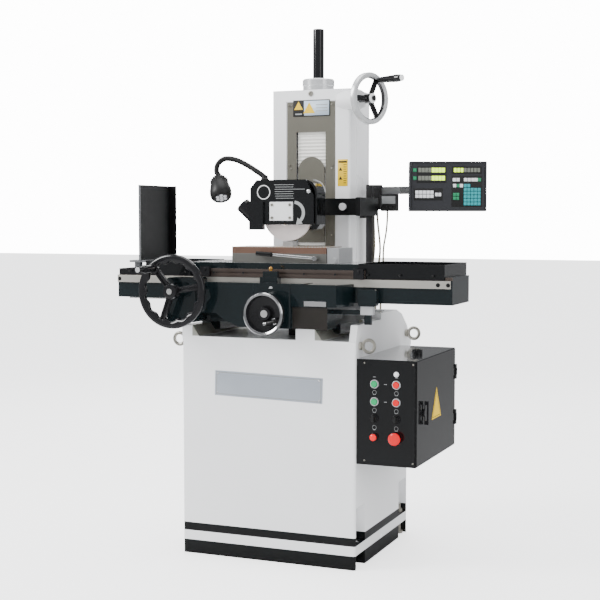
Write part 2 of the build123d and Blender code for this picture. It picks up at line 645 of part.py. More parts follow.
def magnetic_chuck():
    """Permanent magnetic chuck: body, laminated top plate, right-hand end block and clamp screws."""
    body = block(CHUCK_X, CHUCK_Y, (TABLE_TOP, 1029))
    top = block((CHUCK_X[0], CHUCK_X[1] - 1), CHUCK_Y, (1029, CHUCK_TOP))
    end = block((CHUCK_X[1] + 1, 214), (-168, -34), (TABLE_TOP, 1050))
    end += rod((200, -172, 1010), (200, -168, 1010), 7)
    body -= rod((LEVER_X, -180, LEVER_Z), (LEVER_X, -120, LEVER_Z), 8 + RUN)
    return Compound(children=[body, top, end])


LEVER_X, LEVER_Z = 137, 1016
LEVER_TILT = 4


def chuck_lever():
    """On-off lever: shaft, slim rod and black grip, folded to the left."""
    shaft = rod((LEVER_X, -196, LEVER_Z), (LEVER_X, -121, LEVER_Z), 8)
    tilt = math.radians(180 - LEVER_TILT)
    along = Vector(math.cos(tilt), 0, math.sin(tilt))
    hub = Vector(LEVER_X, -190, LEVER_Z)
    arm = rod(tuple(hub), tuple(hub + along * 165), 5)
    grip = rod(tuple(hub + along * 158), tuple(hub + along * 214), 7.5)
    return shaft + arm + grip


def dresser_block():
    """Small ground block held on the chuck, under the wheel."""
    body = block((-10, 27), (-118, -74), (CHUCK_TOP, 1070.5))
    return chamfer(body.edges().filter_by(Axis.Z), 1.5)


def splash_guard():
    """Upright guard plate on the table's left end, with flanges and a foot."""
    plate = block((-507, -505), (-235, -5), (1002, 1266))
    plate += block((-507, -499), (-235, -233), (1002, 1266)) + block((-507, -480), (-8, -5), (1002, 1266))
    foot = block((-546, -483), (-232, -7), (996, 1003))
    posts = block((-535, -515), (-215, -195), (955, 997)) + block((-535, -515), (-45, -25), (955, 997))
    return plate + foot + posts


# ---- Wheel head ----
def head_slide():
    """Vertical slide in the column, with its neck through the front slot."""
    body = block((-108, 108), (142, 205), (1070, 1312)) + block((-48, 48), (122.5, 143), (1085, 1290))
    return body - rod((0, 100, SPINDLE_Z), (0, 220, SPINDLE_Z), 48.3)


def shield_plate():
    """Round-topped plate that closes the slot above and below the spindle."""
    y0, y1 = 119.5, 122.5
    plate = block((-51, 51), (y0, y1), (1064, 1318)) + rod((0, y0, 1318), (0, y1, 1318), 51)
    return plate - rod((0, 100, SPINDLE_Z), (0, 130, SPINDLE_Z), 48.3)


def spindle_housing():
    """Quill with its front flange; the bearings run inside."""
    plane = facing((0, 0, SPINDLE_Z))
    quill = lathe([(24, -205), (48, -205), (48, 48), (60, 48), (60, 61), (24, 61)], plane)
    front = tube((0, -61, SPINDLE_Z), (0, -35, SPINDLE_Z), 24, 16 + RUN)
    rear = tube((0, 175, SPINDLE_Z), (0, 205, SPINDLE_Z), 24, 16 + RUN)
    return Compound(children=[quill, front, rear])


def spindle_motor():
    """Motor body behind the quill, inside the column."""
    body = rod((0, 222, SPINDLE_Z), (0, 300, SPINDLE_Z), 72) + rod((0, 205, SPINDLE_Z), (0, 223, SPINDLE_Z), 80)
    return body - rod((0, 200, SPINDLE_Z), (0, 246, SPINDLE_Z), 20)


def spindle():
    """Spindle with its rear wheel flange, the front flange and the wheel nut."""
    plane = facing((0, 0, SPINDLE_Z))
    shaft = lathe([(0, -240), (16, -240), (16, 62), (20, 66), (20, 82), (38, 84), (38, 89.5), (15.85, 89.5),
                   (15.85, 104), (11, 104), (11, 122), (0, 122)], plane)
    front = lathe([(15.9, 102.5), (38, 102.5), (38, 106), (30, 110), (15.9, 110)], plane)
    nut = extrude(facing((0, -110, SPINDLE_Z)) * RegularPolygon(18, 6), 11)
    nut -= rod((0, -130, SPINDLE_Z), (0, -100, SPINDLE_Z), 11)
    return Compound(children=[shaft, front, nut])


def grinding_wheel():
    return tube((0, WHEEL_Y[0], SPINDLE_Z), (0, WHEEL_Y[1], SPINDLE_Z), WHEEL_R, WHEEL_BORE_R)


GUARD_LOW, GUARD_HIGH = 1128, 1280


def guard_outline(inset=0.0):
    """Front view of the wheel guard: bevelled left shoulder, rounded right shoulder."""
    left, right, top = -118 + inset, 124 - inset, GUARD_HIGH - inset
    points = [(left, GUARD_LOW), (left, top - 28), (left + 24, top), (right - 44, top)]
    for step in range(1, 6):
        angle = math.radians(90 - 15 * step)
        points.append((right - 44 + 44 * math.cos(angle), top - 44 + 44 * math.sin(angle)))
    return points + [(right, top - 44), (right, GUARD_LOW)]


def guard_body():
    """Cast wheel guard, open below and closed in front by its cover."""
    body = prism_y(guard_outline(), (-140, -61))
    inner = [(x, z - 1 if z == GUARD_LOW else z) for x, z in guard_outline(inset=6)]
    body -= prism_y(inner, (-141, -68))
    body += prism_y([(95, GUARD_LOW + 1), (95, 1110), (112, 1113), (124, GUARD_LOW + 1)], (-110, -61))
    body -= rod((-130, -118, 1158), (-100, -118, 1158), 24)
    return body - rod((0, -80, SPINDLE_Z), (0, -50, SPINDLE_Z), 39)


def guard_cover():
    """Front cover of the guard with the dust box at its lower left, and its clamp screws."""
    outline = [(-118, GUARD_LOW), (-118, 1252), (-94, GUARD_HIGH), (88, GUARD_HIGH), (116, 1227), (116, GUARD_LOW)]
    plate = prism_y(outline, (-150, -140.2))
    plate += block((-118, -66), (-160, -140.2), (1110, 1206))
    screw = rod((100, -154, 1240), (100, -145, 1240), 6)
    boss = block((-44, 40), (-153, -150), (1142, 1204))
    return Compound(children=[plate + screw, boss])


def dust_port():
    """Extraction nozzle on the guard's left wall, pointing up and outwards."""
    nozzle = rod((-90, -118, 1132), (-160, -118, 1196), 26) - rod((-90, -118, 1132), (-170, -118, 1205), 21)
    nozzle -= block((-118.2, 0), (-200, 0), (1050, 1300))
    plate = block((-121.5, -118.2), (-146, -90), (1118, 1200)) - rod((-130, -118, 1158), (-110, -118, 1158), 22)
    return nozzle - block((-121.5, -110), (-200, 0), (1050, 1300)) + plate


NECK_ROUTE = [(-85, -100, 1286), (-106, -101, 1306), (-150, -104, 1333), (-192, -108, 1352), (-232, -112, 1356),
              (-257, -115, 1338), (-262, -116, 1312), (-256, -115, 1297)]


def work_lamp():
    """Gooseneck on its swivel socket, with the lamp head at its end."""
    neck = cord_tube(8, NECK_ROUTE)
    socket = rod((-85, -100, GUARD_HIGH + 0.3), (-85, -100, 1294), 9)
    end, aim = Vector(-256, -115, 1299), Vector(0.33, -0.22, -0.92).normalized()
    plane = Plane(origin=tuple(end), z_dir=tuple(aim))
    head = lathe([(0, 0), (12, 0), (26, 18), (36, 48), (38, 74), (35, 92), (28, 96), (0, 94)], plane)
    return Compound(children=[neck + socket, head])


def z_scale():
    """Bar from the wheel head, its side arm and the vertical scale that it carries."""
    bar = block((49, 200), (62, 84), (1160, 1219)) + block((198, 214), (40, 226), (1158, 1222))
    bar += rod((143, 54, 1190), (143, 62, 1190), 13)
    scale = block((175, 197.5), (214, 236), (960, 1270))
    clamp = tube((0, 60, SPINDLE_Z), (0, 86, SPINDLE_Z), 56, 48.3) + block((40, 60), (62, 84), (1160, 1200))
    clamp -= rod((0, 50, SPINDLE_Z), (0, 100, SPINDLE_Z), 48.3)
    link = block((190, 214), (206, 236), (1158, 1222))
    return Compound(children=[bar + clamp + link - block((175, 197.5), (213.9, 236.1), (960, 1270)), scale])


# ---- Build every node ----
def build():
    parts.update(
        base_casting=base_casting(), levelling_feet=levelling_feet(), eye_bolts=eye_bolts(),
        column_casting=column_casting(), column_front_cover=column_front_cover(),
        column_covers=column_covers(), handwheel_boss=handwheel_boss(), screw_flange=screw_flange(),
        screw_cover_tube=screw_cover_tube(), cross_nut=cross_nut(), control_cabinet=control_cabinet(),
        control_panel=control_panel(), dro_arm=dro_arm(), scale_cables=scale_cables(),
        wheel_start_button=push_button(376, 617), pump_start_button=push_button(376, 560),
        wheel_stop_button=push_button(450, 617), pump_stop_button=push_button(450, 560),
        light_selector=selector(376, 505), chuck_selector=selector(450, 505),
        emergency_button=emergency_button(), cabinet_door=cabinet_door(), door_lock=door_lock(),
        dro_display=dro_display(), saddle_casting=saddle_casting(), saddle_apron=saddle_apron(),
        drive_housing=drive_housing(), x_scale_reader=x_scale_reader(), pinion_shaft=pinion_shaft(),
        handwheel_shaft=handwheel_shaft(), table_handwheel=table_handwheel(), table_grip=table_grip(),
        cross_handwheel=cross_handwheel(), cross_screw=cross_screw(), cross_crank=cross_crank(),
        table_casting=table_casting(), table_trays=table_trays(), x_scale=x_scale(),
        left_stop_dog=stop_dog(-241), right_stop_dog=stop_dog(313), magnetic_chuck=magnetic_chuck(),
        chuck_lever=chuck_lever(), dresser_block=dresser_block(), splash_guard=splash_guard(),
        drive_rack=drive_rack(), head_slide=head_slide(), shield_plate=shield_plate(),
        spindle_housing=spindle_housing(), spindle_motor=spindle_motor(), guard_body=guard_body(),
        guard_cover=guard_cover(), dust_port=dust_port(), z_scale=z_scale(),
        elevating_screw=elevating_screw(), spindle=spindle(), grinding_wheel=grinding_wheel(),
        work_lamp=work_lamp(), elevating_nut=elevating_nut(), elevating_handwheel=elevating_handwheel(),
        elevating_grip=elevating_grip())


build()
os.makedirs("parts", exist_ok=True)
for name, shape in parts.items():
    export_step(shape, f"parts/{name}.step")
print(len(parts), "nodes written")
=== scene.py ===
# %% [markdown]
# # A manual surface grinder
# The castings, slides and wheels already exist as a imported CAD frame. This script dresses that frame:
# it gives every casting its enamel or ground steel, and adds the pieces that only an eye would notice,
# such as the ribbed lamp neck, the pleated curtain, plates, screws and the digits of the read-out.

# %% Load the frame
import math

import bmesh
import bpy
from mathutils import Matrix, Vector


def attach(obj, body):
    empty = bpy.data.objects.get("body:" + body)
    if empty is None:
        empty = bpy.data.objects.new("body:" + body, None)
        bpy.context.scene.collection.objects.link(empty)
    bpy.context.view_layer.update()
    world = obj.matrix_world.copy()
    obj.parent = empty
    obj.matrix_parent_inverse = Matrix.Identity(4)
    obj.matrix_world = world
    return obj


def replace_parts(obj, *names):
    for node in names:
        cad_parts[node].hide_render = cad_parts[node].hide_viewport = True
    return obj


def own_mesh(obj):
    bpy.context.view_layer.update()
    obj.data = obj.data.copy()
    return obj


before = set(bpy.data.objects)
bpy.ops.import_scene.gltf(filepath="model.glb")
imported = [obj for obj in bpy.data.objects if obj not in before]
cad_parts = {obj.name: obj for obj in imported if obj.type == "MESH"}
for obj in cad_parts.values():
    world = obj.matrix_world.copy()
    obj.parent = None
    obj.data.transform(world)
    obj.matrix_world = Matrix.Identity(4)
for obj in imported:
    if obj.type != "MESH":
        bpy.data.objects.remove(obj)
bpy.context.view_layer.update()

MM = 0.001

# %% [markdown]
# ## Camera
# A long lens from well back keeps the upright edges of the column nearly parallel. The camera's aim
# is a direction, so its angles are made from that direction instead of being typed in as Euler
# numbers.

# %% Camera
YAW, PITCH = math.radians(22.33), math.radians(3.78)
LENS_MM, SENSOR_MM = 74.9, 36
CAMERA_PLACE = (1.6717, -4.0570, 1.152)
camera_data = bpy.data.cameras.new("camera")
camera_data.lens, camera_data.sensor_width = LENS_MM, SENSOR_MM
camera = bpy.data.objects.new("camera", camera_data)
bpy.context.collection.objects.link(camera)
aim = Vector((-math.sin(YAW) * math.cos(PITCH), math.cos(YAW) * math.cos(PITCH), -math.sin(PITCH)))
camera.location = CAMERA_PLACE
camera.rotation_euler = aim.to_track_quat("-Z", "Y").to_euler()
bpy.context.scene.camera = camera
print("camera looks along", [round(c, 3) for c in aim])

# %% [markdown]
# ## Armoured cables
# Three leads drop from the scale reader and the meter to glands on the rear deck. A NURBS curve is
# the natural tool, because a cable bends in one smooth line and never has a corner. The order is set
# after the points exist, because Blender lowers it on a spline that is still short. The bevel is one
# metre and each point scales it down, so that a box round the points is also a box round the tube.

# %% Armoured cables
CABLES = {
    "reader_cable": (0.004, 0.398, [
        (0.186, 0.308, 1.180), (0.186, 0.308, 1.146), (0.199, 0.291, 1.092), (0.211, 0.272, 1.036),
        (0.208, 0.262, 0.980), (0.200, 0.256, 0.924), (0.199, 0.252, 0.870), (0.199, 0.252, 0.792)]),
    "scale_cable": (0.0035, 0.399, [
        (0.174, 0.306, 1.180), (0.174, 0.306, 1.146), (0.186, 0.277, 1.088), (0.193, 0.260, 1.030),
        (0.187, 0.252, 0.972), (0.181, 0.246, 0.914), (0.183, 0.243, 0.862), (0.183, 0.243, 0.792)]),
    "meter_cable": (0.0035, 0.387, [
        (0.228, 0.300, 1.175), (0.228, 0.300, 1.142), (0.226, 0.291, 1.092), (0.219, 0.280, 1.042),
        (0.223, 0.270, 0.988), (0.219, 0.264, 0.932), (0.216, 0.260, 0.876), (0.216, 0.260, 0.792)]),
}


def cable(name, radius, points):
    curve = bpy.data.curves.new(name, "CURVE")
    curve.dimensions, curve.bevel_depth, curve.bevel_resolution = "3D", 1.0, 4
    spline = curve.splines.new("NURBS")
    spline.points.add(len(points) - 1)
    for point, place in zip(spline.points, points):
        point.co, point.radius = (*place, 1), radius
    spline.order_u, spline.use_endpoint_u, spline.resolution_u = 3, True, 10
    curve.use_fill_caps = True
    lead = bpy.data.objects.new(name, curve)
    bpy.context.collection.objects.link(lead)
    return lead


cables = {}
for name, (radius, length, points) in CABLES.items():
    cables[name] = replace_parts(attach(cable(name, radius, points), "root"), "scale_cables")
print("cables", sorted(cables))

# %% [markdown]
# ## Floor, world and light
# Glossy black enamel shows whatever surrounds it. So the world is bright where the camera sees it
# directly, dimmer where it is only mirrored, and large soft boxes give long clean highlights.

# %% Floor, world and light
FLOOR_SEEN, FLOOR_MIRRORED, FLOOR_LIFT = (0.95, 0.95, 0.95, 1), (0.16, 0.16, 0.16, 1), 1.6
SKY_SEEN, SKY_MIRRORED, SKY_SPREAD = 14.0, 0.24, 1.9
bpy.ops.mesh.primitive_plane_add(size=60)
floor = bpy.context.object
floor.name = "floor"
floor_paint = bpy.data.materials.new("studio_floor")
floor_paint.use_nodes = True
floor_shader = floor_paint.node_tree.nodes["Principled BSDF"]
floor_ray, floor_tone = (floor_paint.node_tree.nodes.new(kind)
                         for kind in ("ShaderNodeLightPath", "ShaderNodeMix"))
floor_tone.data_type = "RGBA"
floor_tone.inputs[6].default_value, floor_tone.inputs[7].default_value = FLOOR_SEEN, FLOOR_MIRRORED
floor_paint.node_tree.links.new(floor_ray.outputs["Is Glossy Ray"], floor_tone.inputs[0])
floor_paint.node_tree.links.new(floor_tone.outputs[2], floor_shader.inputs["Base Color"])
lift = floor_paint.node_tree.nodes.new("ShaderNodeMath")
lift.operation, lift.inputs[1].default_value = "MULTIPLY", FLOOR_LIFT
floor_shader.inputs["Emission Color"].default_value = (1, 1, 1, 1)
floor_paint.node_tree.links.new(floor_ray.outputs["Is Camera Ray"], lift.inputs[0])
floor_paint.node_tree.links.new(lift.outputs[0], floor_shader.inputs["Emission Strength"])
floor_shader.inputs["Roughness"].default_value = 0.55
floor.data.materials.append(floor_paint)

world = bpy.data.worlds.new("studio")
bpy.context.scene.world = world
world.use_nodes = True
sky = world.node_tree
seen, mirrored, spread = sky.nodes["Background"], sky.nodes.new("ShaderNodeBackground"), sky.nodes.new(
    "ShaderNodeBackground")
seen.inputs["Color"].default_value, seen.inputs["Strength"].default_value = (1, 1, 1, 1), SKY_SEEN
mirrored.inputs["Color"].default_value, mirrored.inputs["Strength"].default_value = (0.95, 0.97, 1, 1), SKY_MIRRORED
spread.inputs["Color"].default_value, spread.inputs["Strength"].default_value = (0.97, 0.98, 1, 1), SKY_SPREAD
ray, shiny, choose = (sky.nodes.new(kind) for kind in ("ShaderNodeLightPath", "ShaderNodeMixShader",
                                                      "ShaderNodeMixShader"))
for start, end in ((ray.outputs["Is Glossy Ray"], shiny.inputs[0]), (spread.outputs[0], shiny.inputs[1]),
                   (mirrored.outputs[0], shiny.inputs[2]), (ray.outputs["Is Camera Ray"], choose.inputs[0]),
                   (shiny.outputs[0], choose.inputs[1]), (seen.outputs[0], choose.inputs[2]),
                   (choose.outputs[0], sky.nodes["World Output"].inputs["Surface"])):
    sky.links.new(start, end)


def soft_box(name, place, target, width, height, power):
    data = bpy.data.lights.new(name, "AREA")
    data.shape, data.size, data.size_y, data.energy = "RECTANGLE", width, height, power
    lamp = bpy.data.objects.new(name, data)
    lamp.location = place
    lamp.rotation_euler = (Vector(target) - Vector(place)).to_track_quat("-Z", "Y").to_euler()
    bpy.context.collection.objects.link(lamp)


soft_box("key_box", (-3.4, -2.4, 3.6), (0, 0, 0.9), 1.6, 2.6, 180)
soft_box("right_box", (3.4, -1.6, 2.2), (0.2, 0, 0.9), 0.9, 2.8, 12)
soft_box("top_box", (0, 0.2, 4.2), (0, 0, 1), 2.6, 2.6, 50)
soft_box("rear_box", (-1.6, 3.4, 2.6), (0, 0, 1), 1.4, 2.4, 40)

# %% [markdown]
# ## Shared shader effects
# Several finishes need the same small tricks: a fine uneven height, long grinding lines, rounded
# edges that catch light, and a mask for one region of a casting. Each trick is a node group with
# named sockets, built once and placed in a material with that finish's own values.

# %% Node helpers
def add(tree, kind, **settings):
    made = tree.nodes.new(kind)
    for key, value in settings.items():
        setattr(made, key, value)
    return made


def feed(tree, socket, value):
    """Link an output to a socket, or set the socket's constant."""
    if isinstance(value, bpy.types.NodeSocket):
        tree.links.new(value, socket)
    else:
        socket.default_value = value


def maths(tree, operation, a, b=0.0):
    made = add(tree, "ShaderNodeMath", operation=operation)
    feed(tree, made.inputs[0], a)
    feed(tree, made.inputs[1], b)
    return made.outputs[0]


def vectors(tree, operation, a, b=(0, 0, 0), result=0):
    made = add(tree, "ShaderNodeVectorMath", operation=operation)
    feed(tree, made.inputs[0], a)
    feed(tree, made.inputs[1], b)
    return made.outputs[result]


def effect(name, inputs, outputs):
    """A shader group; inputs are (name, kind, value) and outputs are (name, kind)."""
    tree = bpy.data.node_groups.new(name, "ShaderNodeTree")
    for label, kind, value in inputs:
        tree.interface.new_socket(label, in_out="INPUT", socket_type="NodeSocket" + kind).default_value = value
    for label, kind in outputs:
        tree.interface.new_socket(label, in_out="OUTPUT", socket_type="NodeSocket" + kind)
    return tree, add(tree, "NodeGroupInput").outputs, add(tree, "NodeGroupOutput").inputs


def use(tree, group, **values):
    """Place a group in a material and set its inputs; spaces in socket names are underscores here."""
    made = add(tree, "ShaderNodeGroup", node_tree=group)
    for label, value in values.items():
        feed(tree, made.inputs[label.replace("_", " ")], value)
    return made.outputs


# %% Uneven surface: fine height, and slow tone
def build_uneven_surface():
    tree, given, out = effect("uneven_surface", [("Fine Scale", "Float", 400.0), ("Tone Scale", "Float", 5.0),
                                                ("Stretch", "Vector", (1, 1, 1))],
                              [("Height", "Float"), ("Tone", "Float")])
    where = add(tree, "ShaderNodeTexCoord").outputs["Object"]
    fine = add(tree, "ShaderNodeTexNoise")
    fine.inputs["Detail"].default_value = 3
    tree.links.new(vectors(tree, "MULTIPLY", where, given["Stretch"]), fine.inputs["Vector"])
    tree.links.new(given["Fine Scale"], fine.inputs["Scale"])
    slow = add(tree, "ShaderNodeTexNoise")
    slow.inputs["Detail"].default_value = 5
    tree.links.new(where, slow.inputs["Vector"])
    tree.links.new(given["Tone Scale"], slow.inputs["Scale"])
    tree.links.new(fine.outputs["Fac"], out["Height"])
    tree.links.new(slow.outputs["Fac"], out["Tone"])
    return tree


# %% Rounded edges, and the light wear along them
def build_edges():
    tree, given, out = effect("edges", [("Radius", "Float", 0.0012), ("Patchiness", "Float", 60.0)],
                              [("Rounded", "Vector"), ("Wear", "Float")])
    bevel = add(tree, "ShaderNodeBevel", samples=4)
    tree.links.new(given["Radius"], bevel.inputs["Radius"])
    flat = add(tree, "ShaderNodeNewGeometry").outputs["Normal"]
    turned = maths(tree, "SUBTRACT", 1.0, vectors(tree, "DOT_PRODUCT", bevel.outputs[0], flat, result=1))
    patches = add(tree, "ShaderNodeTexNoise")
    patches.inputs["Detail"].default_value = 6
    tree.links.new(add(tree, "ShaderNodeTexCoord").outputs["Object"], patches.inputs["Vector"])
    tree.links.new(given["Patchiness"], patches.inputs["Scale"])
    worn = maths(tree, "MULTIPLY", maths(tree, "GREATER_THAN", turned, 0.06),
                 maths(tree, "GREATER_THAN", patches.outputs["Fac"], 0.6))
    tree.links.new(bevel.outputs[0], out["Rounded"])
    tree.links.new(worn, out["Wear"])
    return tree


# %% Region masks: inside a box, and inside a ball
def build_box_mask():
    tree, given, out = effect("box_mask", [("Low", "Vector", (0, 0, 0)), ("High", "Vector", (1, 1, 1))],
                              [("Mask", "Float")])
    where = add(tree, "ShaderNodeTexCoord").outputs["Object"]
    inner = vectors(tree, "MINIMUM", vectors(tree, "SUBTRACT", where, given["Low"]),
                    vectors(tree, "SUBTRACT", given["High"], where))
    split = add(tree, "ShaderNodeSeparateXYZ")
    tree.links.new(inner, split.inputs[0])
    least = maths(tree, "MINIMUM", maths(tree, "MINIMUM", split.outputs[0], split.outputs[1]), split.outputs[2])
    tree.links.new(maths(tree, "GREATER_THAN", least, 0.0), out["Mask"])
    return tree


def build_ball_mask():
    tree, given, out = effect("ball_mask", [("Centre", "Vector", (0, 0, 0)), ("Radius", "Float", 0.01)],
                              [("Mask", "Float")])
    where = add(tree, "ShaderNodeTexCoord").outputs["Object"]
    away = vectors(tree, "DISTANCE", where, given["Centre"], result=1)
    tree.links.new(maths(tree, "LESS_THAN", away, given["Radius"]), out["Mask"])
    return tree


UNEVEN, EDGES = build_uneven_surface(), build_edges()
BOX_MASK, BALL_MASK = build_box_mask(), build_ball_mask()
print("effects", [g.name for g in bpy.data.node_groups])


# %% [markdown]
# ## Finishes
# One function lays down every finish: a base colour with a slow tone, a fine height, rounded edges
# and some worn ones. A list of regions can then paint part of a casting in another finish, which is
# how the black bands of painted shade at the pedestal's foot, ground ways or a brass ball come to sit on one
# enamelled piece.

# %% The finish builder
def in_box(low, high):
    return lambda tree: use(tree, BOX_MASK, Low=[c * MM for c in low], High=[c * MM for c in high])["Mask"]


def in_ball(centre, radius):
    return lambda tree: use(tree, BALL_MASK, Centre=[c * MM for c in centre], Radius=radius * MM)["Mask"]


def mixed(tree, factor, a, b, kind="FLOAT"):
    """a where factor is 0 and b where it is 1; kind is FLOAT or RGBA."""
    made = add(tree, "ShaderNodeMix", data_type=kind)
    first = 6 if kind == "RGBA" else 2
    feed(tree, made.inputs[0], factor)
    feed(tree, made.inputs[first], a)
    feed(tree, made.inputs[first + 1], b)
    return made.outputs[2 if kind == "RGBA" else 0]


def shade(colour, factor):
    return (*[min(1, c * factor) for c in colour[:3]], 1)


def finish(name, colour, rough, metal=0.0, coat=0.0, tone=0.12, tone_scale=5.0, fine=400.0, stretch=(1, 1, 1),
           depth=0.02, edge=0.0012, worn=None, regions=(), glow=0.0):
    """regions are (mask, colour, roughness, metallic), painted in order over the base."""
    material = bpy.data.materials.new(name)
    material.use_nodes = True
    tree = material.node_tree
    shader = tree.nodes["Principled BSDF"]
    surface = use(tree, UNEVEN, Fine_Scale=fine, Tone_Scale=tone_scale, Stretch=stretch)
    edges = use(tree, EDGES, Radius=edge, Patchiness=60.0)
    base = mixed(tree, surface["Tone"], shade(colour, 1 - tone), shade(colour, 1 + tone), "RGBA")
    roughness = mixed(tree, surface["Tone"], max(0.02, rough * 0.8), min(1, rough * 1.25))
    metallic = metal
    if worn:
        base = mixed(tree, edges["Wear"], base, shade(worn, 1), "RGBA")
        roughness = mixed(tree, edges["Wear"], roughness, 0.45)
    for mask, paint, matt, metalness in regions:
        here = mask(tree)
        toned = mixed(tree, surface["Tone"], shade(paint, 1 - tone), shade(paint, 1 + tone), "RGBA")
        base = mixed(tree, here, base, toned, "RGBA")
        roughness = mixed(tree, here, roughness, matt)
        metallic = mixed(tree, here, metallic, metalness)
    feed(tree, shader.inputs["Base Color"], base)
    feed(tree, shader.inputs["Roughness"], roughness)
    feed(tree, shader.inputs["Metallic"], metallic)
    shader.inputs["Coat Weight"].default_value = coat
    shader.inputs["Coat Roughness"].default_value = 0.06
    if glow:
        feed(tree, shader.inputs["Emission Color"], base)
        shader.inputs["Emission Strength"].default_value = glow
    bump = add(tree, "ShaderNodeBump")
    bump.inputs["Strength"].default_value = 0.35
    bump.inputs["Distance"].default_value = depth * MM
    tree.links.new(surface["Height"], bump.inputs["Height"])
    tree.links.new(edges["Rounded"], bump.inputs["Normal"])
    tree.links.new(bump.outputs[0], shader.inputs["Normal"])
    return material


# %% [markdown]
# ## Colours of this machine
# Off-white enamel on the pedestal and column, blue-black enamel on the saddle and table, plain
# black on the guard and the cabinet. Sliding faces are ground bare, so they stay grey steel.

# %% Colours
OFF_WHITE, BLACK, BLUE_BLACK = (0.88, 0.885, 0.89), (0.004, 0.0045, 0.005), (0.004, 0.0085, 0.010)
STEEL, STAINLESS, SILVER = (0.62, 0.62, 0.61), (0.52, 0.495, 0.425), (0.84, 0.85, 0.86)
BROWN_RAIL, BRASS_YELLOW, LABEL_YELLOW = (0.18, 0.14, 0.12), (0.72, 0.36, 0.07), (0.82, 0.53, 0.0)
ALL = 5000

# %% Enamels
pedestal_enamel = finish(
    "pedestal_enamel", OFF_WHITE, 0.24, coat=0.5, depth=0.05, tone=0.03, worn=(0.55, 0.56, 0.57), regions=[
        # The two black bands are painted shade: they stand for the dark pocket above the foot flange and the dark
        # cut-out below it, and run all round the casting.
        (in_box((-ALL, -ALL, -5), (ALL, ALL, 46.5)), BLACK, 0.3, 0),
        (in_box((-ALL, -ALL, 78.9), (ALL, ALL, 106.6)), BLACK, 0.3, 0),
        (in_box((-ALL, -ALL, 786.5), (-240, 113, 788)), STEEL, 0.3, 0.6),
        (in_box((100, -ALL, 786.5), (200, 113, 788)), STEEL, 0.3, 0.6),
        (in_box((-276, -ALL, 751), (-249, 113, 790)), (0.4, 0.4, 0.35), 0.4, 0.4),
        (in_box((172, -ALL, 751), (199, 113, 790)), (0.4, 0.4, 0.35), 0.4, 0.4)])
column_enamel = finish("column_enamel", OFF_WHITE, 0.22, coat=0.5, depth=0.05, tone=0.03,
                       worn=(0.6, 0.61, 0.62))
panel_enamel = finish("panel_enamel", OFF_WHITE, 0.28, coat=0.4, depth=0.04, tone=0.03)
guard_enamel = finish("guard_enamel", BLACK, 0.16, coat=1.0, depth=0.05, tone=0.3, worn=(0.02, 0.02, 0.022),
                      regions=[(in_box((-45, -154, 1141), (41, -149.9, 1205)), OFF_WHITE, 0.4, 0)])
cabinet_enamel = finish("cabinet_enamel", BLACK, 0.2, coat=0.8, depth=0.04, tone=0.3, worn=(0.03, 0.03, 0.03))
saddle_enamel = finish("saddle_enamel", BLUE_BLACK, 0.2, coat=0.9, depth=0.08, tone=0.25,
                       worn=(0.05, 0.06, 0.065), regions=[
                           (in_box((150, -ALL, 864), (235, -330.2, 884)), SILVER, 0.35, 0.9),
                           (in_box((112, -ALL, 780), (236, -325, 862)), (0.034, 0.030, 0.026), 0.3, 0.5),
                           (in_ball((12, -271, 983), 9), BRASS_YELLOW, 0.2, 0.8)])
table_enamel = finish("table_enamel", BLUE_BLACK, 0.2, coat=0.9, depth=0.06, tone=0.25, worn=(0.05, 0.06, 0.065),
                      regions=[
                          (in_box((-ALL, -ALL, 951.5), (ALL, -234, 981)), BROWN_RAIL, 0.34, 0.85),
                          (in_box((-ALL, -ALL, 999.4), (ALL, ALL, 1001)), STEEL, 0.28, 1)])
splash_enamel = finish("splash_enamel", BLACK, 0.4, coat=0.15, depth=0.05, tone=0.3, regions=[
    (in_box((-ALL, -ALL, 900), (ALL, ALL, 1003.2)), (0.32, 0.33, 0.34), 0.4, 0.8),
    (in_box((-ALL, -236, 1003), (ALL, -232.9, 1300)), (0.28, 0.29, 0.3), 0.4, 0.8)])
print("enamels", len([m for m in bpy.data.materials if "enamel" in m.name]))

# %% Bare and plated metals
LAMINATION = 0.0052
stainless_sheet = finish("stainless_sheet", (0.215, 0.205, 0.17), 0.34, 0.5, depth=0.012, fine=90,
                         stretch=(9, 9, 0.25), tone=0.1)
ground_steel = finish("ground_steel", STEEL, 0.3, 0.7, depth=0.012, fine=160, stretch=(0.3, 12, 12), tone=0.1)
bright_steel = finish("bright_steel", SILVER, 0.2, 0.6, depth=0.008, tone=0.06)
plated_steel = finish("plated_steel", (0.52, 0.50, 0.44), 0.3, 0.75, depth=0.02, tone=0.25, tone_scale=30)
cast_aluminium = finish("cast_aluminium", (0.80, 0.81, 0.82), 0.26, 0.55, depth=0.05, fine=700, tone=0.06)
bronze = finish("bronze", BRASS_YELLOW, 0.3, 1, depth=0.02, tone=0.15)
plate_metal = finish("plate_metal", (0.56, 0.61, 0.68), 0.34, 0.55, depth=0.01, fine=120, stretch=(0.2, 9, 9))


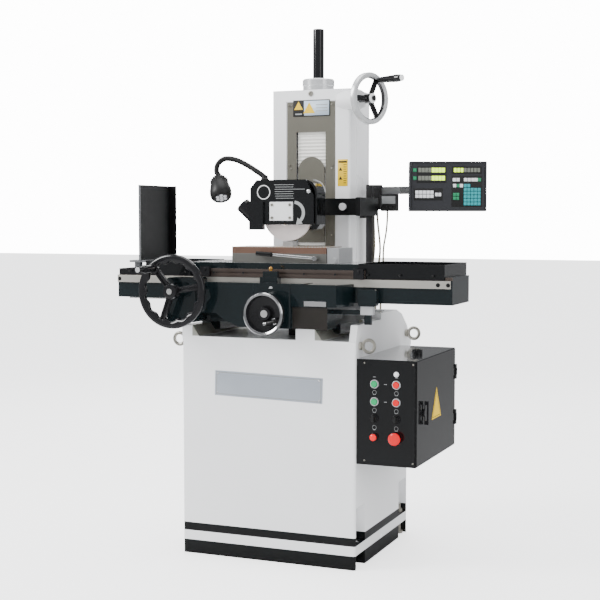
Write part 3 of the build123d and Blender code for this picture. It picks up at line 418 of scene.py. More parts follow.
def chuck_finish():
    """Ground body; the top is a stack of thin brass and steel laminations across its length."""
    brown = (0.30, 0.18, 0.135)
    material = finish("chuck_steel", (0.17, 0.168, 0.155), 0.34, 0.5, depth=0.012, fine=140, stretch=(0.3, 10, 10),
                      regions=[(in_box((-ALL, -ALL, 1030.5), (170.5, ALL, 1051.5)), brown, 0.36, 0.75),
                               (in_box((171.5, -ALL, 990), (ALL, ALL, 1060)), (0.78, 0.79, 0.80), 0.3, 0.8)])
    tree = material.node_tree
    shader = tree.nodes["Principled BSDF"]
    split = add(tree, "ShaderNodeSeparateXYZ")
    tree.links.new(add(tree, "ShaderNodeTexCoord").outputs["Object"], split.inputs[0])
    stripe = maths(tree, "LESS_THAN", maths(tree, "PINGPONG", split.outputs[0], LAMINATION), LAMINATION * 0.35)
    top = in_box((-ALL, -ALL, 1051.5), (170.5, ALL, 1056))(tree)
    plain = shader.inputs["Base Color"].links[0].from_socket
    striped = mixed(tree, stripe, shade(STEEL, 1), shade(BRASS_YELLOW, 0.7), "RGBA")
    feed(tree, shader.inputs["Base Color"], mixed(tree, top, plain, striped, "RGBA"))
    return material


chuck_steel = chuck_finish()
print("metals made, lamination pitch mm", LAMINATION * 2000)

# %% Plastics, rubber, stone and light
black_gloss = finish("black_gloss", (0.008, 0.008, 0.009), 0.14, coat=0.6, depth=0.02, tone=0.2)
black_matt = finish("black_matt", (0.014, 0.014, 0.014), 0.55, depth=0.05, fine=900, tone=0.25)
lamp_rubber = finish("lamp_rubber", (0.012, 0.012, 0.012), 0.42, depth=0.04, fine=900, tone=0.3)
# The button caps carry a faint painted glow, though the push buttons and the emergency button hold no lamp.
green_cap = finish("green_cap", (0.005, 0.33, 0.11), 0.25, coat=0.3, depth=0.01, glow=0.05)
red_cap = finish("red_cap", (0.68, 0.004, 0.008), 0.25, coat=0.3, depth=0.01, glow=0.05)
red_lens = finish("red_lens", (0.85, 0.004, 0.006), 0.2, coat=0.5, depth=0.01, glow=0.15)
white_lens = finish("white_lens", (0.85, 0.85, 0.86), 0.3, coat=0.3, depth=0.01)
white_mark = finish("white_mark", (0.78, 0.78, 0.78), 0.45, depth=0.01)
grey_mark = finish("grey_mark", (0.30, 0.31, 0.31), 0.45, depth=0.01)
yellow_label = finish("yellow_label", LABEL_YELLOW, 0.4, depth=0.01, tone=0.05)
pale_label = finish("pale_label", (0.55, 0.66, 0.76), 0.4, depth=0.01, tone=0.05)
curtain_cloth = finish("curtain_cloth", (0.86, 0.85, 0.80), 0.6, depth=0.1, fine=600, tone=0.04)
wheel_stone = finish("wheel_stone", (0.84, 0.77, 0.75), 0.9, depth=0.35, fine=1500, tone=0.07, tone_scale=40)
lit_segment = finish("lit_segment", (0.62, 0.95, 0.05), 0.4, depth=0.0, glow=1.6)
dim_segment = finish("dim_segment", (0.16, 0.17, 0.14), 0.4, depth=0.0)
teal_key = finish("teal_key", (0.01, 0.30, 0.33), 0.35, depth=0.01)
white_key = finish("white_key", (0.72, 0.73, 0.74), 0.35, depth=0.01)
green_key = finish("green_key", (0.01, 0.24, 0.10), 0.35, depth=0.01)
display_grey = finish("display_grey", (0.026, 0.027, 0.032), 0.4, coat=0.1, depth=0.05, fine=900, tone=0.15)
led_glass = finish("led_glass", (0.55, 0.56, 0.58), 0.15, depth=0.0, glow=0.25)
cable_armour = finish("cable_armour", (0.30, 0.27, 0.19), 0.45, 0.5, depth=0.3, fine=500, stretch=(0.5, 0.5, 4),
                      tone=0.5, tone_scale=60)
print("finishes", len(bpy.data.materials))

# %% [markdown]
# ## Dressing the CAD nodes
# A node whose shape is right keeps its mesh and only gets a finish. The table below reads like a
# painter's list: each finish, and the nodes that it goes on.

# %% Paint the CAD nodes
PAINT = [
    (pedestal_enamel, "base_casting"),
    (column_enamel, "column_casting handwheel_boss head_slide"),
    (panel_enamel, "column_covers"),
    (guard_enamel, "guard_body guard_cover"),
    (cabinet_enamel, "control_cabinet control_panel cabinet_door table_trays"),
    (saddle_enamel, "saddle_casting saddle_apron drive_housing"),
    (table_enamel, "table_casting"),
    (splash_enamel, "splash_guard"),
    (stainless_sheet, "column_front_cover shield_plate"),
    (ground_steel, "dresser_block drive_rack spindle_housing spindle_motor pinion_shaft cross_screw "
                   "elevating_screw handwheel_shaft"),
    (bright_steel, "screw_flange spindle"),
    (plated_steel, "eye_bolts levelling_feet"),
    (bronze, "elevating_nut"),
    (chuck_steel, "magnetic_chuck"),
    (black_gloss, "screw_cover_tube dust_port table_grip elevating_grip left_stop_dog right_stop_dog door_lock"),
    (black_matt, "light_selector chuck_selector cross_nut"),
    (green_cap, "wheel_start_button pump_start_button"),
    (red_cap, "wheel_stop_button pump_stop_button emergency_button"),
    (wheel_stone, "grinding_wheel"),
    (display_grey, "dro_display"),
]
for material, names in PAINT:
    for name in names.split():
        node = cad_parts[name]
        node.data.materials.clear()
        node.data.materials.append(material)
SPECIAL = {
    "x_scale": finish("scale_strip", (0.50, 0.485, 0.44), 0.3, 0.55, depth=0.01, tone=0.08, regions=[
        (in_ball((x, -246, 938), 9), BLACK, 0.4, 0) for x in (-582, 576, 609)]),
    "x_scale_reader": finish("reader_finish", BLUE_BLACK, 0.15, coat=1.0, tone=0.2, regions=[
        (in_box((322, -ALL, 837.5), (368, ALL, 865.9)), (0.62, 0.63, 0.64), 0.35, 0.4)]),
    "chuck_lever": finish("lever_finish", SILVER, 0.14, 1, depth=0.005, regions=[
        (in_box((-ALL, -ALL, 900), (-15, ALL, 1100)), BLACK, 0.3, 0)]),
    "z_scale": finish("scale_bar_finish", BLACK, 0.3, coat=0.3, tone=0.3, regions=[
        (in_box((129, -ALL, 1176), (157, 61.9, 1204)), (0.82, 0.82, 0.83), 0.22, 0.35),
        (in_box((170, 210, 900), (198, 240, 1400)), (0.05, 0.05, 0.05), 0.35, 0.6)]),
    "dro_arm": finish("arm_finish", (0.02, 0.02, 0.02), 0.4, tone=0.3, regions=[
        (in_box((200.5, 311, 1236), (460, 330, 1273)), (0.62, 0.63, 0.63), 0.3, 0.9)]),
}
for name, material in SPECIAL.items():
    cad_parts[name].data.materials.clear()
    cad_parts[name].data.materials.append(material)
for lead in cables.values():
    lead.data.materials.append(cable_armour)
print("painted", sum(len(names.split()) for _, names in PAINT) + len(SPECIAL), "nodes")

# %% [markdown]
# ## Building blocks for added pieces
# Small pieces are built face by face with bmesh, straight into the machine's own frame, so that each
# object sits at the origin. Every block, turned part and prism is drawn in the local frame of the
# face it sits on: x to the right, y up, z out of the face. Lengths are millimetres until the end.

# %% Mesh helpers
def face_frame(origin, right=(1, 0, 0), out=(0, -1, 0)):
    z, x = Vector(out).normalized(), Vector(right).normalized()
    return Matrix.Translation(Vector(origin)) @ Matrix((x, z.cross(x), z)).transposed().to_4x4()


def slab(bm, here, low, high, bevel=0.4):
    """A block with softened edges, between two corners of a local frame."""
    middle = [(a + b) / 2 for a, b in zip(low, high)]
    size = Matrix.Diagonal((*[b - a for a, b in zip(low, high)], 1))
    made = bmesh.ops.create_cube(bm, size=1, matrix=here @ Matrix.Translation(middle) @ size)["verts"]
    if bevel:
        edges = list({e for v in made for e in v.link_edges})
        bmesh.ops.bevel(bm, geom=edges, offset=bevel, segments=2, profile=0.6, affect="EDGES")


def turned(bm, here, outline, sides=40):
    """A turned part: the outline is (radius, height) from one end of the axis to the other."""
    rings = []
    for radius, height in outline:
        count = sides if radius > 0 else 1
        turns = [2 * math.pi * n / sides for n in range(count)]
        rings.append([bm.verts.new(here @ Vector((radius * math.cos(t), radius * math.sin(t), height)))
                      for t in turns])
    for below, above in zip(rings, rings[1:]):
        for n in range(sides):
            corners = [below[n % len(below)], below[(n + 1) % len(below)],
                       above[(n + 1) % len(above)], above[n % len(above)]]
            unique = list(dict.fromkeys(corners))
            if len(unique) > 2:
                bm.faces.new(unique)


def prism(bm, here, outline, low, high):
    """An outline in the face's plane, given thickness."""
    bottom = [bm.verts.new(here @ Vector((x, y, low))) for x, y in outline]
    top = [bm.verts.new(here @ Vector((x, y, high))) for x, y in outline]
    bm.faces.new(list(reversed(bottom)))
    bm.faces.new(top)
    for n in range(len(outline)):
        after = (n + 1) % len(outline)
        bm.faces.new((bottom[n], bottom[after], top[after], top[n]))


def piece(bm, name, body, material, replaces=(), crease=32):
    """Weld, turn millimetres into metres, face outwards, smooth what is round, and ride on a body."""
    bmesh.ops.remove_doubles(bm, verts=bm.verts, dist=1e-4)
    bmesh.ops.recalc_face_normals(bm, faces=bm.faces)
    bmesh.ops.scale(bm, vec=(MM, MM, MM), verts=bm.verts)
    mesh = bpy.data.meshes.new(name)
    bm.to_mesh(mesh)
    bm.free()
    mesh.shade_smooth()
    mesh.set_sharp_from_angle(angle=math.radians(crease))
    mesh.materials.append(material)
    return mount(bpy.data.objects.new(name, mesh), body, replaces)


def turned_piece(name, here, outline, body, material, sides=40, replaces=()):
    """A piece that is one turned outline."""
    bm = bmesh.new()
    turned(bm, here, outline, sides)
    return piece(bm, name, body, material, replaces)


def mount(obj, body, replaces=()):
    if obj.name not in bpy.context.collection.objects:
        bpy.context.collection.objects.link(obj)
    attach(obj, body)
    if replaces:
        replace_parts(obj, *replaces)
    return obj


# %% [markdown]
# ## A tree that repeats a piece
# Screws, keys, bezels and the black discs of painted shade that stand for holes are one small shape
# at many places. A Geometry Nodes tree sets that shape on points, realizes the copies and gives them a
# finish; the result is kept as a plain mesh.

# %% The repeating tree
def build_repeat_tree():
    tree = bpy.data.node_groups.new("repeat_at_points", "GeometryNodeTree")
    for label, kind in (("Points", "Geometry"), ("Piece", "Object"), ("Size", "Float"), ("Finish", "Material")):
        tree.interface.new_socket(label, in_out="INPUT", socket_type="NodeSocket" + kind)
    tree.interface.new_socket("Mesh", in_out="OUTPUT", socket_type="NodeSocketGeometry")
    given, out = add(tree, "NodeGroupInput").outputs, add(tree, "NodeGroupOutput").inputs
    points, source = add(tree, "GeometryNodeMeshToPoints"), add(tree, "GeometryNodeObjectInfo")
    copies, real = add(tree, "GeometryNodeInstanceOnPoints"), add(tree, "GeometryNodeRealizeInstances")
    painted = add(tree, "GeometryNodeSetMaterial")
    for start, end in ((given["Points"], points.inputs["Mesh"]), (given["Piece"], source.inputs["Object"]),
                       (points.outputs[0], copies.inputs["Points"]),
                       (source.outputs["Geometry"], copies.inputs["Instance"]),
                       (given["Size"], copies.inputs["Scale"]), (copies.outputs[0], real.inputs[0]),
                       (real.outputs[0], painted.inputs["Geometry"]), (given["Finish"], painted.inputs["Material"]),
                       (painted.outputs[0], out["Mesh"])):
        tree.links.new(start, end)
    return tree


REPEAT = build_repeat_tree()


def run_tree(tree, carrier, name, crease, **inputs):
    """Run a tree on a carrier object, and keep its result as a plain mesh object."""
    bpy.context.collection.objects.link(carrier)
    modifier = carrier.modifiers.new("tree", "NODES")
    modifier.node_group = tree
    for item in tree.interface.items_tree:
        if item.in_out == "INPUT" and item.name.replace(" ", "_") in inputs:
            modifier[item.identifier] = inputs[item.name.replace(" ", "_")]
    carrier.update_tag()
    depsgraph = bpy.context.evaluated_depsgraph_get()
    mesh = bpy.data.meshes.new_from_object(carrier.evaluated_get(depsgraph), depsgraph=depsgraph)
    bpy.data.objects.remove(carrier)
    mesh.shade_smooth()
    mesh.set_sharp_from_angle(angle=math.radians(crease))
    return bpy.data.objects.new(name, mesh)


def repeat(draw, name, points, body, material, here=Matrix.Identity(4), replaces=(), crease=32):
    """draw(bm) makes the shape about the origin; points are places in the frame `here`, in millimetres."""
    bm = bmesh.new()
    draw(bm, here.to_3x3().to_4x4())
    bmesh.ops.remove_doubles(bm, verts=bm.verts, dist=1e-4)
    bmesh.ops.recalc_face_normals(bm, faces=bm.faces)
    bmesh.ops.scale(bm, vec=(MM, MM, MM), verts=bm.verts)
    shape_mesh, place_mesh = bpy.data.meshes.new("shape"), bpy.data.meshes.new("places")
    bm.to_mesh(shape_mesh)
    bm.free()
    place_mesh.from_pydata([(here @ Vector(p)) * MM for p in points], [], [])
    shape = bpy.data.objects.new("shape", shape_mesh)
    bpy.context.collection.objects.link(shape)
    made = run_tree(REPEAT, bpy.data.objects.new("carrier", place_mesh), name, crease,
                    Piece=shape, Size=1.0, Finish=material)
    bpy.data.objects.remove(shape)
    return mount(made, body, replaces)


print("repeating tree has", len(REPEAT.nodes), "nodes")

# %% [markdown]
# ## The big table handwheel
# Its moulded rim has finger lobes on the inner side, so the tube's thickness follows a rule: it grows
# inwards as a wave around the wheel. A Geometry Nodes tree bends a flat grid into that rim, because
# the rule can then be read, and changed, as a few named sizes.

# %% The lobed rim tree
def build_rim_tree():
    tree = bpy.data.node_groups.new("lobed_rim", "GeometryNodeTree")
    for label, kind in (("Rim Radius", "Float"), ("Tube Radius", "Float"), ("Lobe Depth", "Float"),
                        ("Lobes", "Float"), ("Finish", "Material")):
        tree.interface.new_socket(label, in_out="INPUT", socket_type="NodeSocket" + kind)
    tree.interface.new_socket("Mesh", in_out="OUTPUT", socket_type="NodeSocketGeometry")
    given, out = add(tree, "NodeGroupInput").outputs, add(tree, "NodeGroupOutput").inputs
    grid = add(tree, "GeometryNodeMeshGrid")
    for label, value in (("Size X", 1), ("Size Y", 1), ("Vertices X", 193), ("Vertices Y", 25)):
        grid.inputs[label].default_value = value
    split = add(tree, "ShaderNodeSeparateXYZ")
    tree.links.new(add(tree, "GeometryNodeInputPosition").outputs[0], split.inputs[0])
    around = maths(tree, "MULTIPLY", split.outputs["X"], 2 * math.pi)
    across = maths(tree, "MULTIPLY", split.outputs["Y"], 2 * math.pi)
    inward = maths(tree, "MAXIMUM", maths(tree, "MULTIPLY", maths(tree, "COSINE", across), -1.0), 0.0)
    wave = maths(tree, "ADD", maths(tree, "COSINE", maths(tree, "MULTIPLY", around, given["Lobes"])), 1.0)
    lobe = maths(tree, "MULTIPLY", maths(tree, "MULTIPLY", inward, wave),
                 maths(tree, "MULTIPLY", given["Lobe Depth"], 0.5))
    tube_radius = maths(tree, "ADD", given["Tube Radius"], lobe)
    reach = maths(tree, "ADD", given["Rim Radius"], maths(tree, "MULTIPLY", tube_radius,
                                                          maths(tree, "COSINE", across)))
    join = add(tree, "ShaderNodeCombineXYZ")
    tree.links.new(maths(tree, "MULTIPLY", reach, maths(tree, "COSINE", around)), join.inputs[0])
    tree.links.new(maths(tree, "MULTIPLY", reach, maths(tree, "SINE", around)), join.inputs[1])
    tree.links.new(maths(tree, "MULTIPLY", given["Tube Radius"], maths(tree, "SINE", across)), join.inputs[2])
    bent, welded = add(tree, "GeometryNodeSetPosition"), add(tree, "GeometryNodeMergeByDistance")
    welded.inputs["Distance"].default_value = 0.01
    painted = add(tree, "GeometryNodeSetMaterial")
    for start, end in ((grid.outputs["Mesh"], bent.inputs["Geometry"]), (join.outputs[0], bent.inputs["Position"]),
                       (bent.outputs[0], welded.inputs["Geometry"]), (welded.outputs[0], painted.inputs["Geometry"]),
                       (given["Finish"], painted.inputs["Material"]), (painted.outputs[0], out["Mesh"])):
        tree.links.new(start, end)
    return tree


def lobed_rim(name, here, body, material, rim, tube, depth, lobes, replaces=()):
    carrier = bpy.data.objects.new("carrier", bpy.data.meshes.new("carrier"))
    made = run_tree(build_rim_tree(), carrier, name, 60, Rim_Radius=rim, Tube_Radius=tube, Lobe_Depth=depth,
                    Lobes=lobes, Finish=material)
    bm = bmesh.new()
    bm.from_mesh(made.data)
    bmesh.ops.transform(bm, matrix=Matrix.Scale(MM, 4) @ here, verts=bm.verts)
    bmesh.ops.recalc_face_normals(bm, faces=bm.faces)
    bm.to_mesh(made.data)
    bm.free()
    return mount(made, body, replaces)


# %% The table handwheel
DRIVE = (-304, 906)
WHEEL_FACE = face_frame((DRIVE[0], -372, DRIVE[1]))
GRIP_TURN = 130
rim = lobed_rim("handwheel_rim", WHEEL_FACE, "table_handwheel", black_gloss, 112.5, 12.5, 7.5, 14.0,
                replaces=["table_handwheel"])


def draw_spokes(bm):
    turned(bm, WHEEL_FACE, [(10, -20), (22, -20), (25, -17), (25, 8), (27, 12), (24, 18), (17, 20), (10, 20),
                            (10, -20)])
    for degrees in (GRIP_TURN, GRIP_TURN + 120, GRIP_TURN + 240):
        arm = WHEEL_FACE @ Matrix.Rotation(math.radians(degrees), 4, "Z")
        slab(bm, arm, (20, -11, -5), (106, 11, 2), 1.5)
        for side in (-1, 1):
            slab(bm, arm, (20, side * 7 - 3.2, -5), (106, side * 7 + 3.2, 7.5), 2.4)
    grip = WHEEL_FACE @ Matrix.Rotation(math.radians(GRIP_TURN), 4, "Z") @ Matrix.Translation((98, 0, 0))
    turned(bm, grip, [(0, -9), (14, -9), (15, -5), (15, 9), (12, 12), (0, 12)], 28)
    turned(bm, grip, [(0, 10), (4.9, 10), (4.9, 109), (0, 110)], 20)
    for degrees in range(0, 360, 45):
        lug = grip @ Matrix.Rotation(math.radians(degrees), 4, "Z")
        slab(bm, lug, (13, -2.5, -4), (16.5, 2.5, 8), 0.8)


bm = bmesh.new()
draw_spokes(bm)
piece(bm, "handwheel_spokes", "table_handwheel", black_gloss, ["table_handwheel"])
turned_piece("handwheel_centre", WHEEL_FACE, [(0, 20), (8.5, 20), (8, 22.4), (4, 23.2), (0, 23.4)],
             "table_handwheel", ground_steel, 24)
grip_end = WHEEL_FACE @ Matrix.Rotation(math.radians(GRIP_TURN), 4, "Z") @ Matrix.Translation((98, 0, 118))
turned_piece("handwheel_grip_end", grip_end, [(0, 0), (8.6, 0), (8.2, 1.6), (3, 2.2), (0, 2.2)],
             "table_grip", bright_steel, 28)
print("handwheel rim faces", len(rim.data.polygons))

# %% [markdown]
# ## The elevating handwheel
# This one is cast: a wide polished rim, a dark web and spokes, and a light ring at the hub. Turned
# parts are drawn as outlines, just as they would be cut on a lathe.

# %% The elevating handwheel
SIDE_TURN = math.radians(-22.8)
SIDE_OUT = Vector((math.cos(SIDE_TURN), math.sin(SIDE_TURN), 0))
SIDE_FACE = face_frame(Vector((0, 189, 1566)) + SIDE_OUT * 250, (-SIDE_OUT.y, SIDE_OUT.x, 0), SIDE_OUT)


def draw_elevating_web(bm):
    turned(bm, SIDE_FACE, [(9.2, -18), (15, -18), (17, -15), (17, 6), (17.5, 12), (9.2, 12), (9.2, -18)])
    turned(bm, SIDE_FACE, [(71, -9), (73.6, -10), (73.6, 4.5), (71, 4), (71, -9)], 72)
    for degrees in (62, 182, 302):
        arm = SIDE_FACE @ Matrix.Rotation(math.radians(degrees), 4, "Z")
        slab(bm, arm, (12, -10.5, -6), (73, 10.5, 2), 3)
        slab(bm, arm, (12, -3.5, 0), (72, 3.5, 7), 1.8)
    turned(bm, SIDE_FACE, [(0, -224), (12, -224), (14, -224), (17.5, -208), (12, -208), (12, -24), (9, -24),
                           (9, 22), (0, 22)], 32)
    pin = SIDE_FACE @ Matrix.Rotation(math.radians(62), 4, "Z") @ Matrix.Translation((74, 0, 0))
    turned(bm, pin, [(0, 0), (3.9, 0), (3.9, 110), (0, 110)], 20)


turned_piece("elevating_rim", SIDE_FACE,
             [(73, -11), (78, -14), (86, -13.5), (90, -9), (90, 5), (87.5, 9), (80, 10), (75, 8.5), (73, 5),
              (73, -11)], "elevating_handwheel", cast_aluminium, 96, ["elevating_handwheel"])
bm = bmesh.new()
draw_elevating_web(bm)
piece(bm, "elevating_web", "elevating_handwheel", black_gloss, ["elevating_handwheel"])
turned_piece("elevating_hub_ring", SIDE_FACE, [(9.2, 12), (17, 12), (16, 16), (9.2, 17), (9.2, 12)],
             "elevating_handwheel", panel_enamel)
side_grip = SIDE_FACE @ Matrix.Rotation(math.radians(62), 4, "Z") @ Matrix.Translation((74, 0, 0))
turned_piece("elevating_grip_end", side_grip, [(0, 116), (11, 116), (10.6, 118.2), (6, 119.2), (0, 119.4)],
             "elevating_grip", panel_enamel, 28)
print("elevating wheel done")

# %% [markdown]
# ## Cross-feed handwheel
# The CAD node already has its deep dish. It only needs two finishes on one mesh: bright metal on the
# front ring, black behind it. A box mask that takes in the first few millimetres does that.

# %% The cross-feed handwheel
dish_finish = finish("dish_finish", (0.01, 0.01, 0.011), 0.25, coat=0.3, tone=0.2, depth=0.03, regions=[
    (in_box((-ALL, -410, 700), (ALL, -400.6, 1000)), (0.80, 0.80, 0.81), 0.14, 1)])
crank_finish = finish("crank_finish", (0.012, 0.012, 0.012), 0.28, tone=0.2, depth=0.02, regions=[
    (in_ball((43, -394, 809), 9), (0.85, 0.85, 0.86), 0.12, 1)])
for name, material in (("cross_handwheel", dish_finish), ("cross_crank", crank_finish)):
    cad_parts[name].data.materials.clear()
    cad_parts[name].data.materials.append(material)
CROSS = face_frame((40, -382, 842))
turned_piece("cross_feed_nut_cap", CROSS, [(0, 0), (11.5, 0), (11.5, 3), (9, 5), (0, 5.5)], "cross_feed",
             black_matt, 28)
bm = bmesh.new()
prism(bm, face_frame((40, -334.2, 921)), [(-7, 0), (7, 0), (2.5, 7), (-2.5, 7)], 0, 3)
piece(bm, "cross_feed_pointer", "saddle", bright_steel)
print("cross-feed wheel painted")

# %% [markdown]
# ## Work lamp
# The flexible neck is a chain of close ribs. A second Geometry Nodes tree grows it: a ring of points
# sweeps along the neck's curve, and the ring's radius pulses with the distance along it.

# %% The ribbed neck tree
def build_neck_tree():
    tree = bpy.data.node_groups.new("ribbed_neck", "GeometryNodeTree")
    for label, kind in (("Route", "Geometry"), ("Radius", "Float"), ("Rib Depth", "Float"), ("Ribs", "Float"),
                        ("Finish", "Material")):
        tree.interface.new_socket(label, in_out="INPUT", socket_type="NodeSocket" + kind)
    tree.interface.new_socket("Mesh", in_out="OUTPUT", socket_type="NodeSocketGeometry")
    given, out = add(tree, "NodeGroupInput").outputs, add(tree, "NodeGroupOutput").inputs
    curve, spaced = add(tree, "GeometryNodeMeshToCurve"), add(tree, "GeometryNodeResampleCurve")
    spaced.inputs["Count"].default_value = 384
    pulse = maths(tree, "SINE", maths(tree, "MULTIPLY", add(tree, "GeometryNodeSplineParameter").outputs["Factor"],
                                      maths(tree, "MULTIPLY", given["Ribs"], 2 * math.pi)))
    scale = maths(tree, "ADD", given["Radius"], maths(tree, "MULTIPLY", pulse, given["Rib Depth"]))
    sized, ring = add(tree, "GeometryNodeSetCurveRadius"), add(tree, "GeometryNodeCurvePrimitiveCircle")
    ring.inputs["Resolution"].default_value, ring.inputs["Radius"].default_value = 20, 1.0
    swept, painted = add(tree, "GeometryNodeCurveToMesh"), add(tree, "GeometryNodeSetMaterial")
    swept.inputs["Fill Caps"].default_value = True
    links = [(given["Route"], curve.inputs["Mesh"]), (curve.outputs[0], spaced.inputs["Curve"]),
             (spaced.outputs[0], sized.inputs["Curve"]), (scale, sized.inputs["Radius"]),
             (sized.outputs[0], swept.inputs["Curve"]), (ring.outputs[0], swept.inputs["Profile Curve"]),
             (swept.outputs[0], painted.inputs["Geometry"]), (given["Finish"], painted.inputs["Material"]),
             (painted.outputs[0], out["Mesh"])]
    if "Scale" in swept.inputs:
        links.append((scale, swept.inputs["Scale"]))
    for start, end in links:
        tree.links.new(start, end)
    return tree


def smooth_route(points, steps=12):
    """A soft line through the given points."""
    knots = [Vector(p) for p in points]
    knots = [2 * knots[0] - knots[1]] + knots + [2 * knots[-1] - knots[-2]]
    line = []
    for a, b, c, d in zip(knots, knots[1:], knots[2:], knots[3:]):
        for n in range(steps):
            t = n / steps
            line.append(0.5 * (2 * b + (c - a) * t + (2 * a - 5 * b + 4 * c - d) * t * t
                               + (3 * b - a - 3 * c + d) * t ** 3))
    return line + [knots[-2]]


# %% The work lamp
NECK = [(-85, -100, 1288), (-88, -100, 1293), (-106, -101, 1306), (-150, -104, 1333), (-192, -108, 1352),
        (-232, -112, 1356), (-257, -115, 1338), (-262, -116, 1312), (-254, -115, 1299)]
route_mesh = bpy.data.meshes.new("route")
line = [p * MM for p in smooth_route(NECK)]
route_mesh.from_pydata(line, [(n, n + 1) for n in range(len(line) - 1)], [])
neck = mount(run_tree(build_neck_tree(), bpy.data.objects.new("carrier", route_mesh), "lamp_neck", 60,
                      Radius=9.0 * MM, Rib_Depth=0.6 * MM, Ribs=58.0, Finish=lamp_rubber),
             "work_lamp", ["work_lamp"])
LAMP_AIM = Vector((0.34, -0.44, -0.83)).normalized()
LAMP_SIDE = LAMP_AIM.cross(Vector((0, 1, 0))).normalized()
LAMP = face_frame((-256, -115, 1299), LAMP_SIDE, LAMP_AIM)
bm = bmesh.new()
turned(bm, LAMP, [(0, -3), (10, -3), (11, 1), (13, 5), (18, 10), (23.5, 19), (28.5, 31), (33, 45), (36.5, 60),
                  (38, 72), (37.5, 82), (35.5, 90), (32, 95), (28, 96.5), (26, 94), (0, 94)], 64)
for degrees in range(0, 360, 20):
    fin = LAMP @ Matrix.Rotation(math.radians(degrees), 4, "Z")
    slab(bm, fin, (12, -1.1, 10), (22.6, 1.1, 19), 0.5)
    slab(bm, fin, (22, -1.1, 21), (31.4, 1.1, 38), 0.5)
turned(bm, face_frame((-85, -100, 1280), out=(0, 0, 1)),
       [(0, 0.4), (14, 0.4), (14, 5), (11.5, 8), (10.5, 17), (0, 17)], 28)
piece(bm, "lamp_head", "work_lamp", lamp_rubber, ["work_lamp"])
turned_piece("lamp_window", LAMP, [(0, 93.5), (24, 93.5), (24, 95), (0, 95.4)], "work_lamp", display_grey,
             48)
repeat(lambda bm, here: turned(bm, here, [(0, 0), (6.4, 0), (6, 2), (3, 3.4), (0, 3.8)], 24), "lamp_leds",
       [(0, 0, 95)] + [(14.5 * math.cos(t), 14.5 * math.sin(t), 95) for t in [n * math.pi / 3 for n in range(6)]],
       "work_lamp", led_glass, here=LAMP)
print("lamp faces", len(neck.data.polygons))

# %% [markdown]
# ## Curtains
# A pleated cloth curtain closes the slot above the head, and another hangs below it. The pleats are
# one zig-zag outline pushed across the width. The upper curtain is a fixed piece on the frame; the lower
# one is a short plain strip that rides with the head, so the slot below it opens when the head is up.

# %% Curtains
def pleated(bm, x, y, z, pitch):
    folds = int((z[1] - z[0]) / pitch)
    step = (z[1] - z[0]) / folds
    front = [(y[0] if n % 2 else y[0] + 4, z[0] + n * step) for n in range(folds + 1)]
    outline = front + [(depth + 2.5, height) for depth, height in reversed(front)]
    prism(bm, face_frame((0, 0, 0), (0, 1, 0), (1, 0, 0)), outline, *x)


bm = bmesh.new()
pleated(bm, (-54, 54), (125, 134), (1330, 1585), 6)
upper_curtain = piece(bm, "upper_curtain", "root", curtain_cloth)
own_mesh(upper_curtain)
bm = bmesh.new()
slab(bm, face_frame((0, 126, 0)), (-55, 1003, 0), (55, 1085, 2), 0.4)
for z in (1007, 1078):
    slab(bm, face_frame((0, 124.2, 0)), (-50, z, -0.2), (50, z + 4, 1), 0.3)
piece(bm, "lower_curtain", "head", curtain_cloth)
print("curtains hung")

# %% [markdown]
# ## Guard details
# The guard carries a white inspection plate with its four screws, a plain ring badge, an arrow for
# the wheel's direction and a block of plain bars in place of small print.

# %% Guard details
GUARD = face_frame((0, -150, 0))


def ring_sector(bm, here, centre, radii, angles, low, high, steps=36):
    sweep = [math.radians(angles[0] + (angles[1] - angles[0]) * n / steps) for n in range(steps + 1)]
    outer = [(centre[0] + radii[1] * math.cos(t), centre[1] + radii[1] * math.sin(t)) for t in sweep]
    inner = [(centre[0] + radii[0] * math.cos(t), centre[1] + radii[0] * math.sin(t)) for t in reversed(sweep)]
    prism(bm, here, outer + inner, low, high)


bm = bmesh.new()
ring_sector(bm, GUARD, (44, 1168), (30, 41), (85, -48), 0.02, 0.35)
tip = Vector((44, 1168)) + Vector((math.cos(math.radians(-48)), math.sin(math.radians(-48)))) * 35.5
along = Vector((math.sin(math.radians(-48)), -math.cos(math.radians(-48))))
side = Vector((-along.y, along.x))
head = [tip + side * 14, tip + along * 21, tip - side * 14]
prism(bm, GUARD, [tuple(p) for p in head], 0.02, 0.35)
piece(bm, "guard_arrow", "head", grey_mark)
turned_piece("guard_badge_ring", GUARD @ Matrix.Translation((-67, 1238, 0)),
             [(21.5, 0.05), (24.5, 0.05), (24.5, 0.6), (21.5, 0.6), (21.5, 0.05)], "head", white_mark,
             64)
bm = bmesh.new()
for n, (left, right) in enumerate([(-30, 52), (-26, 50), (-28, 92), (-28, 50), (-28, 52), (-26, 50),
                                   (-24, 53)]):
    slab(bm, GUARD, (left + 2, 1262 - 7.6 * n, 0.02), (right - 8, 1263.6 - 7.6 * n, 0.3), 0)
piece(bm, "guard_bars", "head", grey_mark)


def socket_screw(bm, here, radius=5.0, height=3.0):
    turned(bm, here, [(0, 0), (radius, 0), (radius, height * 0.8), (radius * 0.9, height), (radius * 0.52, height),
                      (radius * 0.52, height * 0.3), (0, height * 0.3)], 24)


repeat(lambda bm, here: socket_screw(bm, here, 5.2, 2.6), "guard_screws",
       [(x, z, 3.0) for x in (-35, 31) for z in (1151, 1195)], "head", plated_steel, here=GUARD)
turned_piece("guard_knob", GUARD @ Matrix.Translation((100, 1240, 3.6)),
             [(0, 0), (6.8, 0), (6.4, 3), (4, 5), (0, 5.6)], "head", bright_steel, 28)
bm = bmesh.new()
ring_sector(bm, face_frame((0, -61, 0)), (80, 1236), (43.6, 45.8), (88, 2), -0.1, 5)
piece(bm, "guard_shoulder_strip", "head", bright_steel)
print("guard dressed")

# %% [markdown]
# ## Plates and labels
# The pedestal's name plate and the notices are left blank: a border, screws and a plain field. They
# are thin raised sheets, so that light finds their edges.

